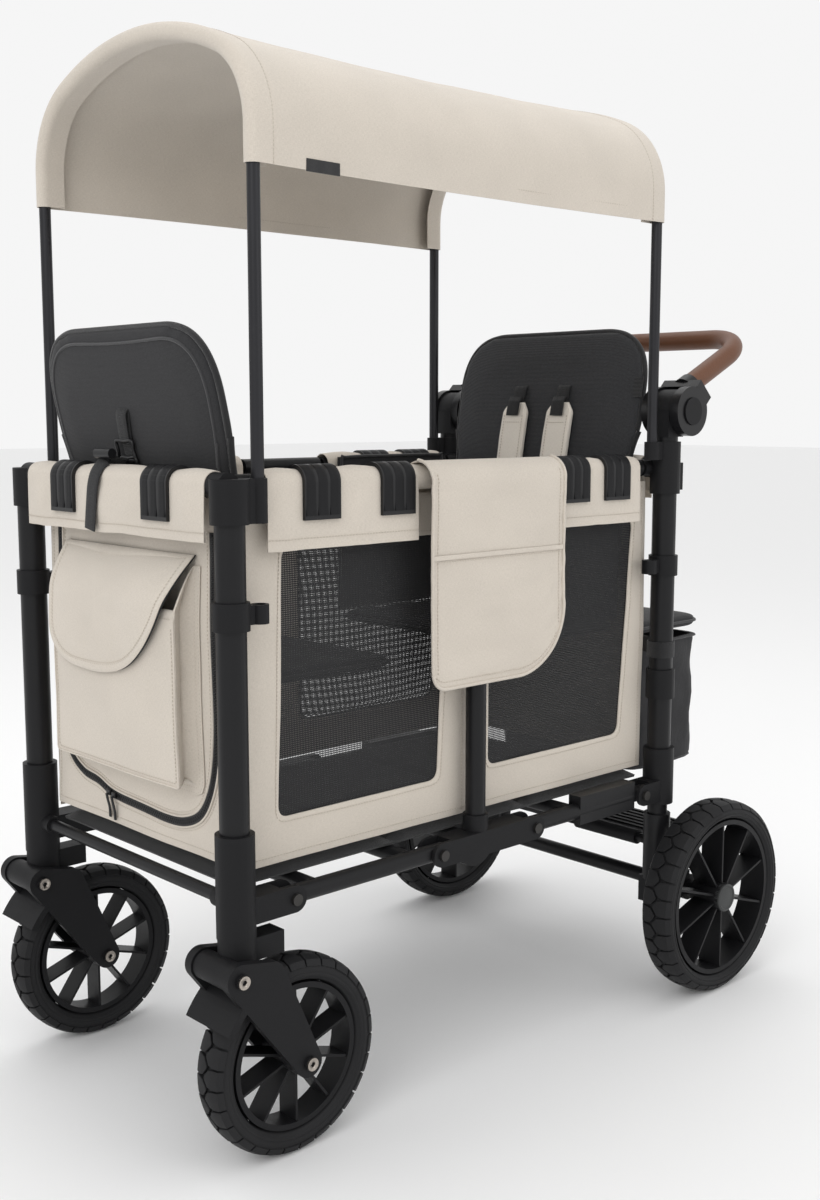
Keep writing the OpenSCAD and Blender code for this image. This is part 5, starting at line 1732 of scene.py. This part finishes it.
for v, wide, high in ((0.252, 0.0175, 0.012), (0.229, 0.016, 0.014)):
    ring = [behind_back(-0.0145 + (0.252 - v) * 0.12 + a * wide, v + b * high, 0.006)
            for a, b in ((-1, -1), (0, -1), (1, -1), (1, 0), (1, 1), (0, 1), (-1, 1), (-1, 0))]
    frames.append(sweep("ladder", smooth_path(ring, 0.002, closed=True), cord_section(0.0024), front_out,
                        polished_nylon, closed=True))
frames.append(sweep("ladder_bar", [behind_back(-0.031, 0.24, 0.006), behind_back(-0.013, 0.24, 0.0075),
                                   behind_back(0.002, 0.24, 0.006)], cord_section(0.0026), front_out,
                    polished_nylon))
bpy.ops.mesh.primitive_cylinder_add(radius=0.0062, depth=0.03, vertices=40,
                                    location=at(-0.02, -rail_y - 0.008, rail_z + SLEEVE_R + 0.0155),
                                    rotation=(0, math.pi / 2, math.radians(6)))
roller = bpy.context.object
roller.name = "recline_roller"
settle(roller)
wear(roller, polished_nylon)
ladder = gather("recline_ladder", frames)
for piece in (recline, loop):
    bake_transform(piece)
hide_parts("recline_strap")
for piece, body in ((ladder, "front_back"), (roller, "front_frame")):
    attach(piece, body)

# ---- Storage bag -----------------------------------------------------------
# A soft black bag on the rear wall: a lofted shell with rounded corners that
# sags between its seams, a stuffed lid, and two webbing loops round the posts.
bag_x, bag_near, bag_far, bag_low, bag_high = 0.149, 0.4262, 0.6045, 0.3095, 0.5195


def bag_ring(z, inset, full):
    """The bag's outline at a height, a little full along each side."""
    corners = [(-bag_x + inset, bag_near + inset), (bag_x - inset, bag_near + inset),
               (bag_x - inset, bag_far - inset), (-bag_x + inset, bag_far - inset)]
    ring = []
    for k, p in enumerate(ring_points(corners, 0.03)):
        share = (k % PER_SIDE - 4) / 8
        out = math.sin(math.pi * min(1, max(0, share)))
        middle = Vector((0, (bag_near + bag_far) / 2))
        away = (p - middle).normalized()
        push = -full * (1 - out) * 0.5 + 0.003 * ripple(k * 0.03, z * 3, 2.2, 0.12, 1.0)
        if p.y < bag_near + 0.02:
            push = min(push, 0)
        ring.append(at(p.x + away.x * push, p.y + away.y * push, z))
    return ring


rows = [bag_ring(bag_low + 0.0022, 0.05, 0), bag_ring(bag_low + 0.001, 0.02, 0),
        bag_ring(bag_low + 0.004, 0.006, 0.002)]
rows += [bag_ring(bag_low + 0.012 + (bag_high - bag_low - 0.014) * k / 24, 0.003, 0.006) for k in range(25)]
bag = loft("storage_bag", rows, ring=True)
shell = bmesh.new()
shell.from_mesh(bag.data)
low = [e for e in shell.edges if e.is_boundary and max(v.co.z for v in e.verts) < bag_low + 0.01]
bmesh.ops.holes_fill(shell, edges=low)
bmesh.ops.recalc_face_normals(shell, faces=shell.faces)
shell.to_mesh(bag.data)
shell.free()
thicken(bag, 0.003, -1.0)
wear(bag, felt)
welts = [sweep("welt", bag_ring(z, inset, 0.004), cord_section(0.0022), (0, 0, 1), piping_cloth, closed=True)
         for z, inset in ((bag_low + 0.006, 0.005), (bag_high - 0.004, 0.002))]
welt = gather("bag_piping", welts)
LID_MIDDLE = 0.5402
lid_flat = Matrix.Translation(at(0, 0, LID_MIDDLE)) @ LYING
lid_edge = round_outline([(-0.147, 0.432, 0.012), (0.147, 0.432, 0.012), (0.147, 0.602, 0.03),
                          (-0.147, 0.602, 0.03)])
lid = stuffed("bag_lid_pad", lid_edge, 0.02, lid_flat, swell=0.005)
wear(lid, felt)
lid_cord = edge_piping("bag_lid_piping", lid_edge, lid_flat, 0.0024, piping_cloth)


def off_post(point):
    """The way out from the nearer rear post, for a loop that lies round it."""
    return (point - at(0.224 if point.x > 0 else -0.224, 0.392, point.z)).normalized() + Vector((0, 1e-4, 0))


loops = []
for side in (-1, 1):
    way = [at(side * 0.146, 0.424, 0.525), at(side * 0.18, 0.4155, 0.525), at(side * 0.215, 0.4145, 0.525),
           at(side * 0.2375, 0.407, 0.525), at(side * 0.2432, 0.392, 0.525),
           at(side * 0.2375, 0.3765, 0.525),
           at(side * 0.224, 0.3732, 0.525), at(side * 0.2085, 0.38, 0.525), at(side * 0.2045, 0.3925, 0.525),
           at(side * 0.2, 0.405, 0.525), at(side * 0.176, 0.4125, 0.525), at(side * 0.148, 0.4215, 0.525)]
    loops.append(sweep("bag_loop", smooth_path(way, 0.0022), strap_section(0.024, 0.0014), off_post, webbing))
loops = gather("bag_loops", loops)
for piece, body in ((bag, "rear_frame"), (welt, "rear_frame"), (loops, "rear_frame"), (lid, "bag_lid"),
                    (lid_cord, "bag_lid")):
    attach(piece, body)
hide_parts("rear_bag")
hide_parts("bag_lid")

# ---- Handle ----------------------------------------------------------------
# Brown leather over the arms and the crossbar, with fine creases and a little
# wear.
leather = grained("grip_leather", (0.125, 0.048, 0.021), (0.2, 0.09, 0.045), 0.42, 340, 0.5, rub=0.12,
                  gloss=0.4)
finish("handle_grip", leather)

# ---- Clip ribs -------------------------------------------------------------
# Each seat clip is a ribbed rubber band: three broad ribs with grooves between
# them, over the sleeve and hooked outwards at its foot.
def ribbed(places, put, body, name):
    bars = []
    for along in places:
        for step in (-0.0178, 0.0, 0.0178):
            way = [put(-SLEEVE_R - 0.0046, along + step, -0.004)]
            way += [put((SLEEVE_R + 0.0049) * math.cos(math.radians(t)), along + step,
                        (SLEEVE_R + 0.0049) * math.sin(math.radians(t))) for t in range(170, -1, -10)]
            way += [put(SLEEVE_R + 0.005, along + step, -0.012),
                    put(SLEEVE_R + 0.0052, along + step, -0.028),
                    put(SLEEVE_R + 0.0062, along + step, -0.038)]
            centre = put(0, along + step, 0)
            bars.append(sweep("clip_rib", smooth_path(way, 0.003), strap_section(0.0148, 0.0011),
                              lambda p: (p - centre), textured_nylon))
    bars = gather(name, bars)
    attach(bars, body)


for side, hand in ((-1, "left"), (1, "right")):
    for body, clips in (("front_rails", front_clip_y), ("rear_rails", rear_clip_y)):
        ribbed(clips, lambda out, along, up: at(side * (rail_x + out), along, rail_z + up), body,
               f"{hand}_{body}_clip_ribs")
ribbed(head_clip_x, lambda out, along, up: at(along, -(rail_y + out), rail_z + up), "front_frame",
       "head_clip_ribs")

# ---- Fasteners -------------------------------------------------------------
# Hex-socket bolt heads on the fork pins and axles.
heads = {}
for side, hand in ((-1, "left"), (1, "right")):
    low_corner, high_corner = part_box(f"{hand}_fork")
    for y, z in ((-0.416, 0.247), (-0.32, 0.12)):
        for x, out in ((low_corner.x, -1), (high_corner.x, 1)):
            bpy.ops.mesh.primitive_cylinder_add(radius=0.0078, depth=0.0026, vertices=36,
                                                location=at(x + out * 0.001, y, z),
                                                rotation=(0, math.pi / 2, 0))
            head = bpy.context.object
            settle(head)
            bpy.ops.mesh.primitive_cylinder_add(radius=0.0034, depth=0.006, vertices=6,
                                                location=at(x + out * 0.002, y, z),
                                                rotation=(0, math.pi / 2, 0))
            socket = bpy.context.object
            settle(socket)
            bore = head.modifiers.new("socket", "BOOLEAN")
            bore.operation, bore.object = "DIFFERENCE", socket
            apply_all(head)
            bpy.data.objects.remove(socket)
            wear(head, bright_steel)
            heads.setdefault(f"{hand}_suspension", []).append(head)
for body, parts in heads.items():
    bolts = gather(f"{body}_bolts", parts)
    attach(bolts, body)
